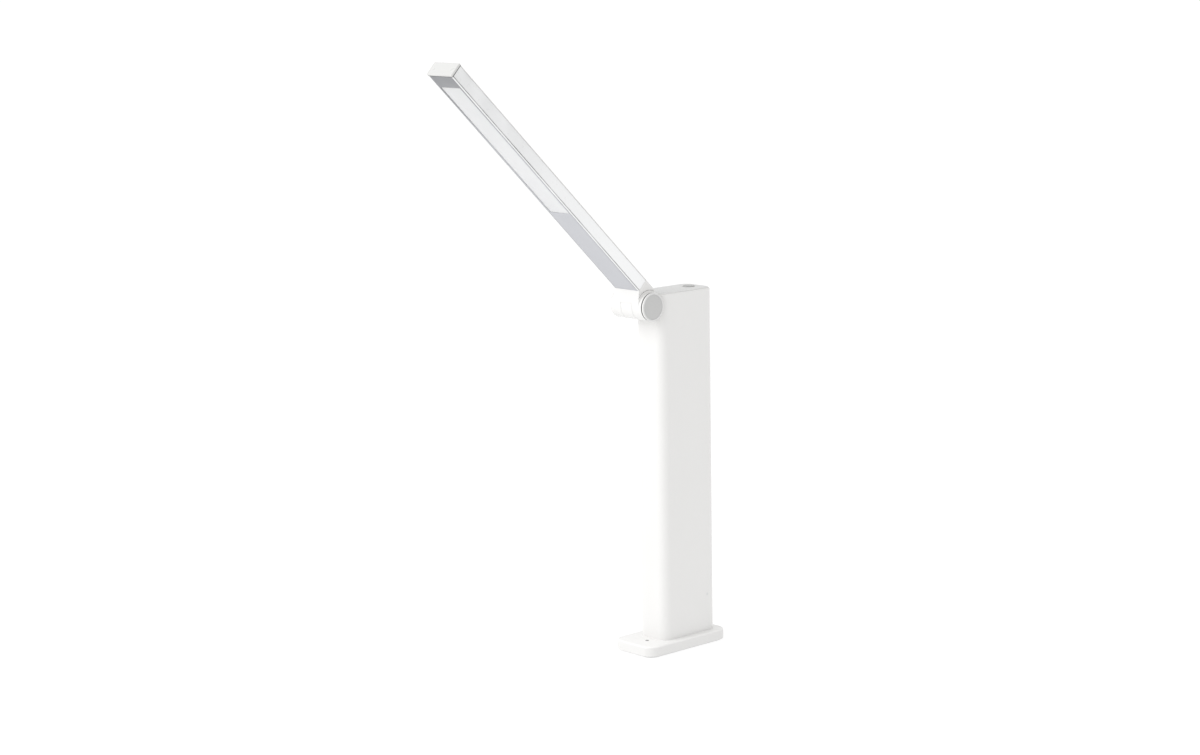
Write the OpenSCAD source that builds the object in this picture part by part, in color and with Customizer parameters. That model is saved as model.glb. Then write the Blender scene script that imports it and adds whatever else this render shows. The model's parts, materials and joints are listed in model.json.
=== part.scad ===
// Cordless folding desk lamp: a light arm on a friction hinge, a battery column and a weighted base.
// Millimetres. X runs along the hinge, Y from the front of the base to its back, Z up.
// The origin is the middle of the underside of the base.

/* [Base] */
// Distance from the column's side to the base's side
base_side = 6; // [4:0.5:14]
// Distance from the column's front to the base's front edge
base_ahead = 20; // [16:0.5:40]
// Distance from the column's back to the base's back edge
base_behind = 6; // [4:0.5:14]
// Height of the base's top above the table
base_h = 8; // [7.5:0.1:14]
// Corner radius of the base
base_corner = 9; // [5:0.5:14]
// Rounding of the base's top edge
base_edge = 1.2; // [0.4:0.1:2]
// Side wall of the base shell
base_wall = 2; // [1.2:0.1:3]
// Thickness of the base shell's top
base_roof = 2.2; // [1.8:0.1:4]
// Thickness of the rubber pad under the base
pad_t = 0.8; // [0.4:0.1:2]
// Distance from the base's edge to the pad's edge
pad_inset = 1.6; // [1:0.1:4]
// Thickness of the cover that closes the base
cover_t = 1.2; // [1.1:0.1:2]
// Diameter of the small plug in front of the column
plug_d = 2.4; // [1.6:0.1:4]
// Distance of the plug from the column's front
plug_ahead = 7; // [4:0.5:12]
// Distance of the plug from the middle of the base
plug_aside = 2.5; // [-8:0.5:8]

/* [Column] */
// Width of the column, along the hinge
col_w = 28; // [27:0.5:36]
// Depth of the column, front to back
col_d = 52; // [50:0.5:70]
// Height of the column above the base
col_h = 250; // [245:1:320]
// Corner radius of the column
col_corner = 7; // [4:0.5:7]
// Wall of the column
col_wall = 1.6; // [1.2:0.1:1.8]
// Rounding of the column's top edge
col_edge = 1; // [0.2:0.1:1]
// Height of the block that closes the column's foot
foot_block_h = 12; // [8:0.5:20]

/* [Top cap and button] */
// Height of the cap above the column's rim
cap_proud = 0.6; // [0.6:0.1:2]
// Width of the rim left round the cap
cap_inset = 1.1; // [0.4:0.1:1.3]
// Height of the shadow gap under the cap's edge
cap_shadow = 0.1; // [0.1:0.1:0.5]
// Thickness of the cap's plate below the rim
cap_plate = 2; // [1.4:0.1:3]
// Diameter of the button
button_d = 8.4; // [7:0.5:11]
// Distance from the button's centre to the column's back
button_from_back = 11.2; // [9:0.1:16]
// Travel of the button
button_travel = 0.5; // [0.3:0.1:0.8]
// Height of the button above the cap
button_proud = 0.6; // [0:0.1:1]
// Depth of the dish in the button
button_dish = 0.35; // [0.1:0.05:0.6]

/* [Hinge] */
// Distance from the column's top down to the hinge axis
hinge_drop = 7; // [5:0.5:12]
// Gap between the hinge barrel and the column's front
hinge_gap = 0.4; // [0.3:0.1:2]
// Radius of the hinge barrel
barrel_r = 10; // [9:0.5:12]
// Width of the drum between the two cheeks
drum_w = 11; // [10.5:0.5:11.5]
// Diameter of the hinge pin
pin_d = 6; // [5:0.1:7]
// Bore through the hinge pin
pin_bore = 3; // [2:0.1:3.6]
// Width of the trim ring at each end of the barrel
trim_w = 1; // [0.6:0.1:2]
// Width of the groove between trim ring and disc cap
groove_w = 0.6; // [0.2:0.1:1]
// Depth of that groove
groove_deep = 2; // [1:0.1:2.6]
// Thickness of the disc cap
disc_w = 1.4; // [1.4:0.1:3]
// Width of the rim round the disc's face
disc_rim = 1.4; // [0.8:0.1:3]
// Thickness of the disc in the cap's face
disc_t = 0.6; // [0.3:0.1:0.8]
// Depth of the disc's face below the rim
disc_drop = 0.2; // [0.1:0.1:0.4]

/* [Arm] */
// Angle of the arm above level as shown
arm_angle = 44; // [0:1:60]
// Length of the arm from the hinge axis to its tip
arm_len = 242; // [200:0.5:242]
// How much narrower the arm is than the column
arm_slim = 3; // [2.4:0.1:3.4]
// Thickness of the arm
arm_t = 10.2; // [9.8:0.1:14]
// Height of the arm's underside above the hinge axis
arm_lift = 2; // [1:0.1:3]
// Distance from the hinge axis to the start of the channel
arm_start = 15; // [14:0.5:20]
// Wall of the arm's channel
channel_wall = 0.9; // [0.8:0.1:1]
// Width of the lips under the channel, which hold the panel
lip_w = 1.2; // [1.1:0.1:1.6]
// Thickness of those lips
lip_t = 0.6; // [0.4:0.1:0.7]
// Thickness of the top cover's visible edge
top_cover_t = 0.6; // [0.4:0.1:1]
// Height of the seams above those lips
lip_seam_h = 0.5; // [0.3:0.1:0.6]
// Height of the seams under the top cover
seam_h = 0.3; // [0.1:0.1:0.4]
// Gap between the channel and the end cap
end_gap = 0.5; // [0.2:0.1:1]
// Thickness of the end cap
end_cap_t = 1.6; // [1:0.1:4]
// Length of the plugs that hold the channel at both ends
plug_len = 16; // [14:0.5:24]

/* [Light] */
// Distance from the tip to the window
window_margin = 13; // [11:0.5:20]
// Length of the window
window_len = 129.5; // [100:0.5:160]
// Distance from the arm's side to the window
window_side = 2.7; // [2.6:0.1:5]
// Depth of the diffuser below the panel's face
window_step = 0.3; // [0.2:0.1:0.7]
// Thickness of the underside panel
panel_t = 1.4; // [1.3:0.1:2]
// Number of LEDs
led_count = 20; // [8:1:28]

/* [Inside] */
// Diameter of a battery cell
cell_d = 18.3; // [14:0.1:18.6]
// Length of a battery cell
cell_l = 65; // [50:0.5:70]
// Height of the charging socket above the base
port_rise = 16; // [14:0.5:24]
// Height of the charge light above the base
lamp_rise = 27; // [23:0.5:40]
// Distance from the charge light to the column's back
lamp_from_back = 9.4; // [8.5:0.1:14]
// Diameter of the charge light
lamp_d = 2; // [1.4:0.1:3]

/* [Hidden] */
$fn = 64;

// Clearances
slip = 0.1;
loose = 0.2;
turn_fit = 0.05;
side_gap = 0.2;
cut = 0.01;

// Outer sizes that follow the column
base_w = col_w + 2 * base_side;
base_l = base_ahead + col_d + base_behind;
arm_w = col_w - arm_slim;
window_w = arm_w - 2 * window_side;

// Base heights and places
cover_top = pad_t + cover_t;
roof_under = base_h - base_roof;
cavity_w = base_w - 2 * base_wall;
cavity_l = base_l - 2 * base_wall;
cavity_corner = base_corner - base_wall;
boss_r = 3;
boss_in = cavity_corner - (cavity_corner - boss_r - loose) * cos(45);
boss_x = cavity_w / 2 - boss_in;
boss_y = cavity_l / 2 - boss_in;
small_screw_r = 1;
small_head_r = 2.2;
small_head_h = 0.8;
column_screw_r = 1.5;
column_head_r = 2.8;
column_head_h = 1.8;
column_screw_reach = 10;
column_screw_off = 15;

// Column places
col_back = base_l / 2 - base_behind;
col_front = col_back - col_d;
col_mid = (col_front + col_back) / 2;
col_top = base_h + col_h;
inner_w = col_w - 2 * col_wall;
inner_d = col_d - 2 * col_wall;
inner_corner = col_corner - col_wall;
inner_front = col_front + col_wall;
inner_back = col_back - col_wall;

// Hinge places
axis_y = col_front - hinge_gap - barrel_r;
axis_z = col_top - hinge_drop;
cheek_in = drum_w / 2 + side_gap;
cheek_out = col_w / 2;
cheek_wall = 2.6;
recess_in = cheek_in + cheek_wall;
recess_r = 5.6;
pin_r = pin_d / 2;
pin_head_r = pin_r + 1.5;
pin_head_t = 0.9;
disc_in = cheek_out + trim_w + groove_w;
disc_out = disc_in + disc_w;
disc_face = disc_out - disc_drop;
nut_t = 1.8;
web_w = 10;
web_up = 3.5;
web_down = 5;
plate_w = 12;
plate_t = 3.2;
plate_drop = 45;
bracket_screw_r = 1.25;
bracket_head_r = 2.2;
bracket_head_h = 1;
bracket_screw_l = 9;
bracket_screw_drops = [40, 30];
lead_r = 0.6;
lead_hole_r = 0.8;

// Arm sections, measured square to the arm from the hinge axis
arm_under = arm_lift;
arm_over = arm_lift + arm_t;
seam_under = arm_under + lip_t;
panel_over = arm_under + panel_t;
web_over = arm_over - top_cover_t - seam_h;
web_under = web_over - channel_wall;
seam_inset = 0.4;
channel_end = arm_len - end_cap_t - end_gap;
cap_over = 0.2;
inside_w = arm_w - 2 * channel_wall;
plug_w = inside_w - 2 * slip;
plug_under = panel_over + slip;
plug_over = web_under - slip;
neck_end = arm_start - slip;
neck_w = arm_w - 2 * slip;
neck_top_at = 5;
knuckle_screw_x = 6.5;
knuckle_screw_s = arm_start + plug_len / 2;
knuckle_head_h = 1.2;
lead_x = recess_in + pin_head_t + lead_r + 0.4;
lead_n = recess_r - lead_hole_r + 0.2;
lead_end_x = 6;

// Light unit
window_end = arm_len - window_margin;
window_start = window_end - window_len;
flange_w = window_w + 2.4;
flange_len = window_len + 2.4;
flange_t = 1;
flange_over = panel_over + flange_t;
tray_wall = 1.2;
led_board_t = 1;
led_board_w = flange_w - 2 * tray_wall - 2 * slip;
led_board_len = flange_len - 2 * tray_wall - 2 * slip;
led_h = 0.8;
led_w = 3.5;
led_l = 2.8;

// Parts inside the column
board_t = 1.6;
port_w = 8.94;
port_h = 3.2;
port_depth = 7.4;
port_skin = 0.35;
port_r = port_h / 2;
port_z = base_h + port_rise;
board_x = -port_r - board_t;
board_bottom = base_h + foot_block_h + 2;
board_h = 74;
board_d = 21.6;
board_back = inner_back - 2 * loose;
board_front = board_back - board_d;
frame_t = 2;
frame_x = board_x - frame_t;
frame_slot = 3;
frame_bottom = base_h + foot_block_h - frame_slot;
frame_front = inner_front + loose;
cell_y = inner_front + 12.4;
shelf_t = 1.6;
tab_t = 0.3;
tab_size = 8;
cell_pitch = cell_l + 2 * tab_t + shelf_t;
shelf_z = base_h + foot_block_h + 4;
head_back = inner_front + plate_t + 10;
lamp_y = col_back - lamp_from_back;
lamp_z = base_h + lamp_rise;
board_screw_r = 1;
board_head_r = 1.9;
board_head_h = 1;
board_screw_in = 3.8;
board_screw_places = [[board_front + board_screw_in, board_bottom + board_screw_in],
    [board_back - board_screw_in, board_bottom + board_h - board_screw_in]];
indicator_h = 0.7;
indicator_w = 1.6;
chip_w = 5;
chip_h = 1;
coil_w = 6;
coil_h = 3;
can_r = 2;
can_h = 5;
lead_socket_d = 6;
lead_socket_l = 8;
lead_socket_h = 4;

// Cap, button and switch
button_y = col_back - button_from_back;
cap_top = col_top + cap_proud;
cap_under = col_top - cap_plate;
skirt_t = 1.2;
skirt_drop = 6;
button_r = button_d / 2;
button_gap = 0.25;
button_flange_r = button_r + 0.9;
button_flange_t = 1.1;
button_flange_top = cap_under - slip;
stem_r = 2;
switch_w = 6;
switch_h = 3.4;
plunger_r = 1.7;
switch_board_t = 1.2;
switch_drop = 9;
switch_board_top = col_top - switch_drop;
switch_top = switch_board_top + switch_h;
stem_end = switch_top + 1.1;
switch_board_l = 14;
switch_board_w = inner_w - 2 * slip - 2 * skirt_t - 2 * loose;
post_r = 2;
post_x = switch_board_w / 2 - post_r - 0.4;
cap_screw_l = 5;

module rounded_rect(w, l, r) {
    square([w - 2 * r, l], center = true);
    square([w, l - 2 * r], center = true);
    for (sx = [-1, 1], sy = [-1, 1])
        translate([sx * (w / 2 - r), sy * (l / 2 - r)])
            circle(r);
}

module slab(w, l, z0, z1, r) {
    translate([0, 0, z0])
        linear_extrude(z1 - z0)
            rounded_rect(w, l, r);
}

// A slab whose top edge is rounded by e
module soft_slab(w, l, z0, z1, r, e) {
    slab(w, l, z0, z1 - e, r);
    slab(w - 2 * e, l - 2 * e, z0, z1, r - e);
    for (s = [-1, 1]) {
        translate([0, s * (l / 2 - e), z1 - e])
            rotate([0, 90, 0])
                cylinder(r = e, h = w - 2 * r, center = true);
        translate([s * (w / 2 - e), 0, z1 - e])
            rotate([90, 0, 0])
                cylinder(r = e, h = l - 2 * r, center = true);
    }
    for (sx = [-1, 1], sy = [-1, 1])
        translate([sx * (w / 2 - r), sy * (l / 2 - r), z1 - e])
            rotate_extrude()
                translate([r - e, 0])
                    circle(e);
}

// A block from one corner to the other
module block(a, b) {
    translate(a)
        cube(b - a);
}

// A round bar along X
module bar_x(r, x0, x1) {
    translate([x0, 0, 0])
        rotate([0, 90, 0])
            cylinder(r = r, h = x1 - x0);
}

// A screw that points up, with its head's lower face at the origin
module screw(head_r, head_h, r, l) {
    difference() {
        union() {
            cylinder(r = head_r, h = head_h);
            cylinder(r = r, h = head_h + l);
        }
        translate([0, 0, -cut])
            cylinder(r = head_r * 0.45, h = head_h / 2 + cut, $fn = 6);
    }
}

// A round bar from a to b
module segment(a, b, r) {
    d = b - a;
    translate(a)
        rotate([0, acos(d.z / norm(d)), atan2(d.y, d.x)])
            cylinder(r = r, h = norm(d));
}

// An insulated lead through a list of points
module lead(points, r) {
    for (i = [0 : len(points) - 2])
        segment(points[i], points[i + 1], r);
    for (i = [1 : len(points) - 2])
        translate(points[i])
            sphere(r + 0.05);
}

module at_column() {
    translate([0, col_mid, 0])
        children();
}

module at_axis() {
    translate([0, axis_y, axis_z])
        children();
}

// Puts what is drawn along -Y from the hinge axis, with its top up, at the arm's angle
module in_arm() {
    at_axis()
        rotate([-arm_angle, 0, 0])
            children();
}

// A bar of the arm, w wide, from s0 to s1 along the arm and from n0 to n1 across it
module arm_bar(w, s0, s1, n0, n1) {
    block([-w / 2, -s1, n0], [w / 2, -s0, n1]);
}

module at_bosses() {
    for (sx = [-1, 1], sy = [-1, 1])
        translate([sx * boss_x, sy * boss_y, 0])
            children();
}

module at_column_screws() {
    for (s = [-1, 1])
        translate([0, col_mid + s * column_screw_off, 0])
            children();
}

module base_shell() {
    color("white")
        difference() {
            union() {
                difference() {
                    soft_slab(base_w, base_l, pad_t, base_h, base_corner, base_edge);
                    slab(cavity_w, cavity_l, pad_t - cut, roof_under, cavity_corner);
                }
                at_bosses()
                    translate([0, 0, cover_top])
                        cylinder(r = boss_r, h = roof_under - cover_top + cut);
            }
            at_bosses()
                translate([0, 0, cover_top - cut])
                    cylinder(r = small_screw_r + turn_fit, h = base_h - 1 - cover_top);
            at_column_screws()
                translate([0, 0, roof_under - cut])
                    cylinder(r = column_screw_r + loose, h = base_roof + 2 * cut);
            translate([plug_aside, col_front - plug_ahead, base_h - 1])
                cylinder(r = plug_d / 2, h = 1 + cut);
        }
}

module ballast_plate() {
    color("dimgray")
        difference() {
            slab(cavity_w - 2 * loose, cavity_l - 2 * loose, cover_top, roof_under, cavity_corner - loose);
            at_bosses()
                cylinder(r = boss_r + loose, h = base_h);
            at_column_screws()
                cylinder(r = column_head_r + loose, h = base_h);
        }
}

module base_cover() {
    color("gainsboro")
        difference() {
            slab(cavity_w - 2 * slip, cavity_l - 2 * slip, pad_t, cover_top, cavity_corner - slip);
            at_bosses() {
                cylinder(r = small_screw_r + loose, h = base_h);
                cylinder(r = small_head_r + slip, h = pad_t + small_head_h);
            }
        }
}

module foot_pad() {
    color("darkgray")
        slab(base_w - 2 * pad_inset, base_l - 2 * pad_inset, 0, pad_t, base_corner - pad_inset);
}

module base_screws() {
    color("silver")
        at_bosses()
            translate([0, 0, pad_t])
                screw(small_head_r, small_head_h, small_screw_r, base_h - 1.6 - pad_t - small_head_h);
}

module base_plug() {
    color("dimgray")
        translate([plug_aside, col_front - plug_ahead, base_h - 1])
            difference() {
                cylinder(r = plug_d / 2, h = 1.2);
                translate([0, 0, 0.9])
                    cylinder(r = plug_d / 4, h = 1);
            }
}

module column_screws() {
    color("silver")
        at_column_screws()
            translate([0, 0, roof_under - column_head_h])
                screw(column_head_r, column_head_h, column_screw_r, base_roof + column_screw_reach);
}

module port_slot(grow, y0, y1) {
    translate([0, y0, port_z])
        rotate([-90, 0, 0])
            linear_extrude(y1 - y0)
                port_outline(grow);
}

module port_outline(grow) {
    flat = port_w - port_h;
    square([port_h + 2 * grow, flat], center = true);
    for (s = [-1, 1])
        translate([0, s * flat / 2])
            circle(port_r + grow);
}

module column_shell() {
    color("white")
        difference() {
            at_column()
                difference() {
                    soft_slab(col_w, col_d, base_h, col_top, col_corner, col_edge);
                    slab(inner_w, inner_d, base_h - cut, col_top + cut, inner_corner);
                }
            block([-web_w / 2 - slip, col_front - cut, axis_z - web_down - slip],
                [web_w / 2 + slip, inner_front + cut, col_top + cut]);
            port_slot(slip, inner_back - 1, col_back + 1);
            translate([0, lamp_y, lamp_z])
                bar_x(lamp_d / 2, inner_w / 2 - 1, col_w / 2 + 1);
        }
}

module column_foot() {
    color("lightgray")
        difference() {
            at_column()
                slab(inner_w - 2 * slip, inner_d - 2 * slip, base_h, base_h + foot_block_h,
                    inner_corner - slip);
            at_column_screws()
                translate([0, 0, base_h - cut])
                    cylinder(r = column_screw_r + turn_fit, h = column_screw_reach + 0.6);
            block([frame_x - slip, frame_front - slip, frame_bottom],
                [board_x + slip, board_back + slip, base_h + foot_block_h + cut]);
            port_slot(slip + 0.4, inner_back - port_depth - 1, inner_back);
        }
}

module inner_frame() {
    head_bottom = axis_z - plate_drop;
    head_top = axis_z - web_down - 16;
    color("lightgray")
        difference() {
            union() {
                block([frame_x, frame_front, frame_bottom], [board_x, board_back, head_top]);
                for (i = [0 : 2])
                    translate([0, 0, shelf_z + i * cell_pitch])
                        block([-cell_d / 2, cell_y - cell_d / 2, 0], [cell_d / 2, cell_y + cell_d / 2, shelf_t]);
                block([-plate_w / 2, inner_front + plate_t, head_bottom], [plate_w / 2, head_back, head_top]);
            }
            for (i = [0 : 1])
                translate([0, 0, shelf_z + shelf_t + i * cell_pitch])
                    block([frame_x - 1, cell_y - cell_d / 2 - loose, 0],
                        [board_x + 1, cell_y + cell_d / 2 + loose, cell_l + 2 * tab_t]);
            block([frame_x - 1, frame_front - 1, head_bottom - slip],
                [plate_w / 2 + 1, inner_front + plate_t, head_top + 1]);
            for (drop = bracket_screw_drops)
                translate([0, inner_front + plate_t - cut, axis_z - drop])
                    rotate([-90, 0, 0])
                        cylinder(r = bracket_screw_r + turn_fit, h = bracket_screw_l);
            for (p = board_screw_places)
                translate([0, p[0], p[1]])
                    bar_x(board_screw_r + turn_fit, frame_x - 1, board_x + 1);
        }
}

module battery_cells() {
    color("mediumseagreen")
        for (i = [0 : 1])
            translate([0, cell_y, shelf_z + shelf_t + tab_t + i * cell_pitch]) {
                cylinder(r = cell_d / 2 - 0.4, h = cell_l);
                translate([0, 0, 0.8])
                    cylinder(r = cell_d / 2, h = cell_l - 1.6);
            }
}

module battery_tabs() {
    color("silver")
        for (i = [0 : 1], e = [0, cell_l + tab_t])
            translate([-tab_size / 2, cell_y - tab_size / 2, shelf_z + shelf_t + i * cell_pitch + e])
                cube([tab_size, tab_size, tab_t]);
}

module main_board() {
    color("seagreen")
        difference() {
            block([board_x, board_front, board_bottom], [-port_r, board_back, board_bottom + board_h]);
            for (p = board_screw_places)
                translate([0, p[0], p[1]])
                    bar_x(board_screw_r + loose, board_x - 1, 1);
        }
}

// A flat block of the board, by the place of its middle as a share of the board's depth and height
module on_board(across, up, d, l, h) {
    y = board_front + across * board_d;
    z = board_bottom + up * board_h;
    block([-port_r, y - d / 2, z - l / 2], [-port_r + h, y + d / 2, z + l / 2]);
}

// A coil, two chips, the lead's socket, three capacitors and the indicator, on the board's face
module board_components() {
    color("dimgray") {
        on_board(0.42, 0.39, coil_w, coil_w, coil_h);
        on_board(0.35, 0.57, chip_w, chip_w, chip_h);
        on_board(0.65, 0.68, chip_w, chip_w, chip_h);
        on_board(0.28, 0.91, lead_socket_d, lead_socket_l, lead_socket_h);
        translate([0, lamp_y, lamp_z])
            block([-port_r, -indicator_w / 2, -indicator_w / 2],
                [-port_r + indicator_h, indicator_w / 2, indicator_w / 2]);
        for (i = [0 : 2])
            translate([0, board_front + 0.75 * board_d, board_bottom + 0.34 * board_h + 3 * can_r * i])
                bar_x(can_r, -port_r, -port_r + can_h);
    }
}

module board_screws() {
    color("silver")
        for (p = board_screw_places)
            translate([-port_r + board_head_h, p[0], p[1]])
                rotate([0, -90, 0])
                    screw(board_head_r, board_head_h, board_screw_r, board_t + frame_t);
}

module charge_port() {
    color("silver")
        difference() {
            port_slot(0, col_back - port_depth - 0.1, col_back - 0.1);
            port_slot(-port_skin, col_back - port_depth + 0.9, col_back);
        }
}

module port_tongue() {
    color("dimgray")
        block([-0.35, col_back - port_depth + 0.9, port_z - 3.3], [0.35, col_back - 1, port_z + 3.3]);
}

module charge_light() {
    color("whitesmoke")
        translate([0, lamp_y, lamp_z]) {
            bar_x(lamp_d / 2, -port_r + indicator_h, col_w / 2);
            bar_x(lamp_d / 2 + 0.6, inner_w / 2 - 0.8, inner_w / 2);
        }
}

module top_cap() {
    cap_w = col_w - 2 * cap_inset;
    cap_d = col_d - 2 * cap_inset;
    cap_corner = col_corner - cap_inset;
    neck_in = 0.4;
    color("gainsboro")
        difference() {
            union() {
                at_column() {
                    soft_slab(cap_w, cap_d, col_top + cap_shadow, cap_top, cap_corner, 0.3);
                    slab(cap_w - 2 * neck_in, cap_d - 2 * neck_in, col_top, col_top + cap_shadow + cut,
                        cap_corner - neck_in);
                    slab(inner_w - 2 * slip, inner_d - 2 * slip, col_top - skirt_drop, col_top + cut,
                        inner_corner - slip);
                }
                block([-web_w / 2, col_front + 0.1, axis_z + web_up + slip],
                    [web_w / 2, inner_front + slip + cut, col_top + cut]);
            }
            at_column()
                slab(inner_w - 2 * slip - 2 * skirt_t, inner_d - 2 * slip - 2 * skirt_t,
                    col_top - skirt_drop - cut, cap_under, inner_corner - slip - skirt_t);
            block([-plate_w / 2 - slip, inner_front - cut, col_top - skirt_drop - cut],
                [plate_w / 2 + slip, inner_front + plate_t + slip, axis_z + web_up + slip]);
            translate([0, button_y, cap_under - cut])
                cylinder(r = button_r + button_gap, h = cap_plate + cap_proud + 2 * cut);
        }
    color("gainsboro")
        difference() {
            at_posts()
                cylinder(r = post_r, h = cap_under - switch_board_top + cut);
            at_posts()
                translate([0, 0, -cut])
                    cylinder(r = small_screw_r + turn_fit, h = cap_screw_l);
        }
}

module at_posts() {
    for (s = [-1, 1])
        translate([s * post_x, button_y, switch_board_top])
            children();
}

module power_button() {
    dish_r = (button_r * button_r / button_dish + button_dish) / 2;
    top = cap_top + button_proud;
    color("lightgray")
        translate([0, button_y, 0])
            difference() {
                union() {
                    translate([0, 0, button_flange_top - button_flange_t])
                        cylinder(r = button_flange_r, h = button_flange_t);
                    translate([0, 0, stem_end])
                        cylinder(r = stem_r, h = button_flange_top - stem_end);
                    translate([0, 0, button_flange_top - cut])
                        cylinder(r = button_r, h = top - button_flange_top + cut);
                }
                translate([0, 0, top + dish_r - button_dish])
                    sphere(dish_r, $fn = 128);
            }
}

module switch_plunger() {
    color("dimgray")
        translate([0, button_y, switch_top - 1])
            cylinder(r = plunger_r, h = stem_end - switch_top + 1);
}

module power_switch() {
    color("darkslategray")
        difference() {
            translate([-switch_w / 2, button_y - switch_w / 2, switch_board_top])
                cube([switch_w, switch_w, switch_h]);
            translate([0, button_y, switch_top - 1 - button_travel - loose])
                cylinder(r = plunger_r + slip, h = 3);
        }
}

module switch_board() {
    color("seagreen")
        difference() {
            block([-switch_board_w / 2, button_y - switch_board_l / 2, switch_board_top - switch_board_t],
                [switch_board_w / 2, button_y + switch_board_l / 2, switch_board_top]);
            at_posts()
                translate([0, 0, -switch_board_t - cut])
                    cylinder(r = small_screw_r + loose, h = switch_board_t + 2 * cut);
        }
}

module cap_screws() {
    color("silver")
        at_posts()
            translate([0, 0, -switch_board_t - 1])
                screw(board_head_r, 1, small_screw_r, switch_board_t + cap_screw_l - 0.6);
}

module hinge_bracket() {
    plate_back = inner_front + plate_t;
    color("white")
        difference() {
            union() {
                at_axis()
                    bar_x(barrel_r, -drum_w / 2, drum_w / 2);
                block([-web_w / 2, axis_y, axis_z - web_down], [web_w / 2, plate_back, axis_z + web_up]);
                block([-plate_w / 2, inner_front + slip, axis_z - plate_drop],
                    [plate_w / 2, plate_back, axis_z + web_up]);
            }
            at_axis()
                bar_x(pin_r, -drum_w, drum_w);
            translate([0, axis_y, axis_z])
                rotate([-90, 0, 0])
                    cylinder(r = lead_hole_r + slip, h = plate_back - axis_y + 1);
            for (drop = bracket_screw_drops)
                translate([0, inner_front, axis_z - drop])
                    rotate([-90, 0, 0]) {
                        cylinder(r = bracket_screw_r + loose, h = plate_t + 1);
                        cylinder(r = bracket_head_r + slip, h = bracket_head_h + slip);
                    }
        }
}

module bracket_screws() {
    color("silver")
        for (drop = bracket_screw_drops)
            translate([0, inner_front + slip, axis_z - drop])
                rotate([-90, 0, 0])
                    screw(bracket_head_r, bracket_head_h, bracket_screw_r,
                        plate_t - bracket_head_h + bracket_screw_l - 1);
}

module hinge_pin() {
    head_out = recess_in + slip + pin_head_t;
    color("silver")
        at_axis()
            difference() {
                union() {
                    bar_x(pin_r, -head_out, recess_in + slip + nut_t + 0.4);
                    bar_x(pin_head_r, -head_out, -recess_in - slip);
                }
                bar_x(pin_bore / 2, -head_out - 1, recess_in + nut_t + 2);
                rotate([-90, 0, 0])
                    cylinder(r = lead_hole_r + slip, h = pin_r + 1);
            }
}

module hinge_nut() {
    color("silver")
        at_axis()
            difference() {
                translate([recess_in + slip, 0, 0])
                    rotate([0, 90, 0])
                        cylinder(r = recess_r - 0.9, h = nut_t, $fn = 6);
                bar_x(pin_r, recess_in, recess_in + nut_t + 1);
            }
}

module friction_washers() {
    color("silver")
        at_axis()
            for (s = [-1, 1])
                mirror([s < 0 ? 1 : 0, 0, 0])
                    difference() {
                        bar_x(barrel_r - 2, drum_w / 2, drum_w / 2 + side_gap - turn_fit);
                        bar_x(pin_r + turn_fit, 0, drum_w);
                    }
}

module hinge_trim_rings() {
    color("white")
        at_axis()
            for (s = [-1, 1])
                mirror([s < 0 ? 1 : 0, 0, 0])
                    difference() {
                        bar_x(barrel_r, cheek_out, cheek_out + trim_w);
                        bar_x(recess_r, cheek_out - 1, cheek_out + trim_w + 1);
                    }
}

// Disc cap on the right end of the barrel, with a hollow spigot that holds it in the cheek
module disc_cap() {
    hub = cheek_out + trim_w;
    rim = 1;
    difference() {
        union() {
            rotate([0, 90, 0])
                rotate_extrude()
                    union() {
                        translate([0, disc_in])
                            square([barrel_r, disc_w - rim]);
                        translate([0, disc_in])
                            square([barrel_r - rim, disc_w]);
                        translate([barrel_r - rim, disc_out - rim])
                            circle(rim);
                    }
            bar_x(barrel_r - groove_deep, hub, disc_in + cut);
            bar_x(recess_r - turn_fit, cheek_out - 2, hub + cut);
        }
        bar_x(barrel_r - disc_rim, disc_face - disc_t, disc_out + 1);
        bar_x(recess_r - 1, cheek_out - 3, hub);
    }
}

module hinge_cap_right() {
    color("silver")
        at_axis()
            disc_cap();
}

module hinge_cap_left() {
    color("silver")
        at_axis()
            mirror([1, 0, 0])
                disc_cap();
}

module hinge_discs() {
    color("darkgray")
        at_axis()
            for (s = [-1, 1])
                mirror([s < 0 ? 1 : 0, 0, 0])
                    bar_x(barrel_r - disc_rim - turn_fit, disc_face - disc_t, disc_face);
}

// Angle, seen from the axis, at which a line from the point p touches the barrel
function touch_angle(p, side) = atan2(p[1], p[0]) + side * acos(barrel_r / norm(p));
function on_barrel(a) = [barrel_r * cos(a), barrel_r * sin(a)];

// Side outline of the neck: distance along the arm, then across it
module neck_outline() {
    low = [neck_end, arm_under];
    high = [neck_top_at, arm_over - slip];
    touch_low = on_barrel(touch_angle(low, -1));
    touch_high = on_barrel(touch_angle(high, 1));
    polygon([[0, 0], touch_low, low, [neck_end, high[1]], high, touch_high]);
}

// Extrudes an outline given along and across the arm into a bar w wide
module arm_extrude(w) {
    translate([-w / 2, 0, 0])
        rotate([90, 0, 90])
            mirror([1, 0, 0])
                linear_extrude(w)
                    children();
}

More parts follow.
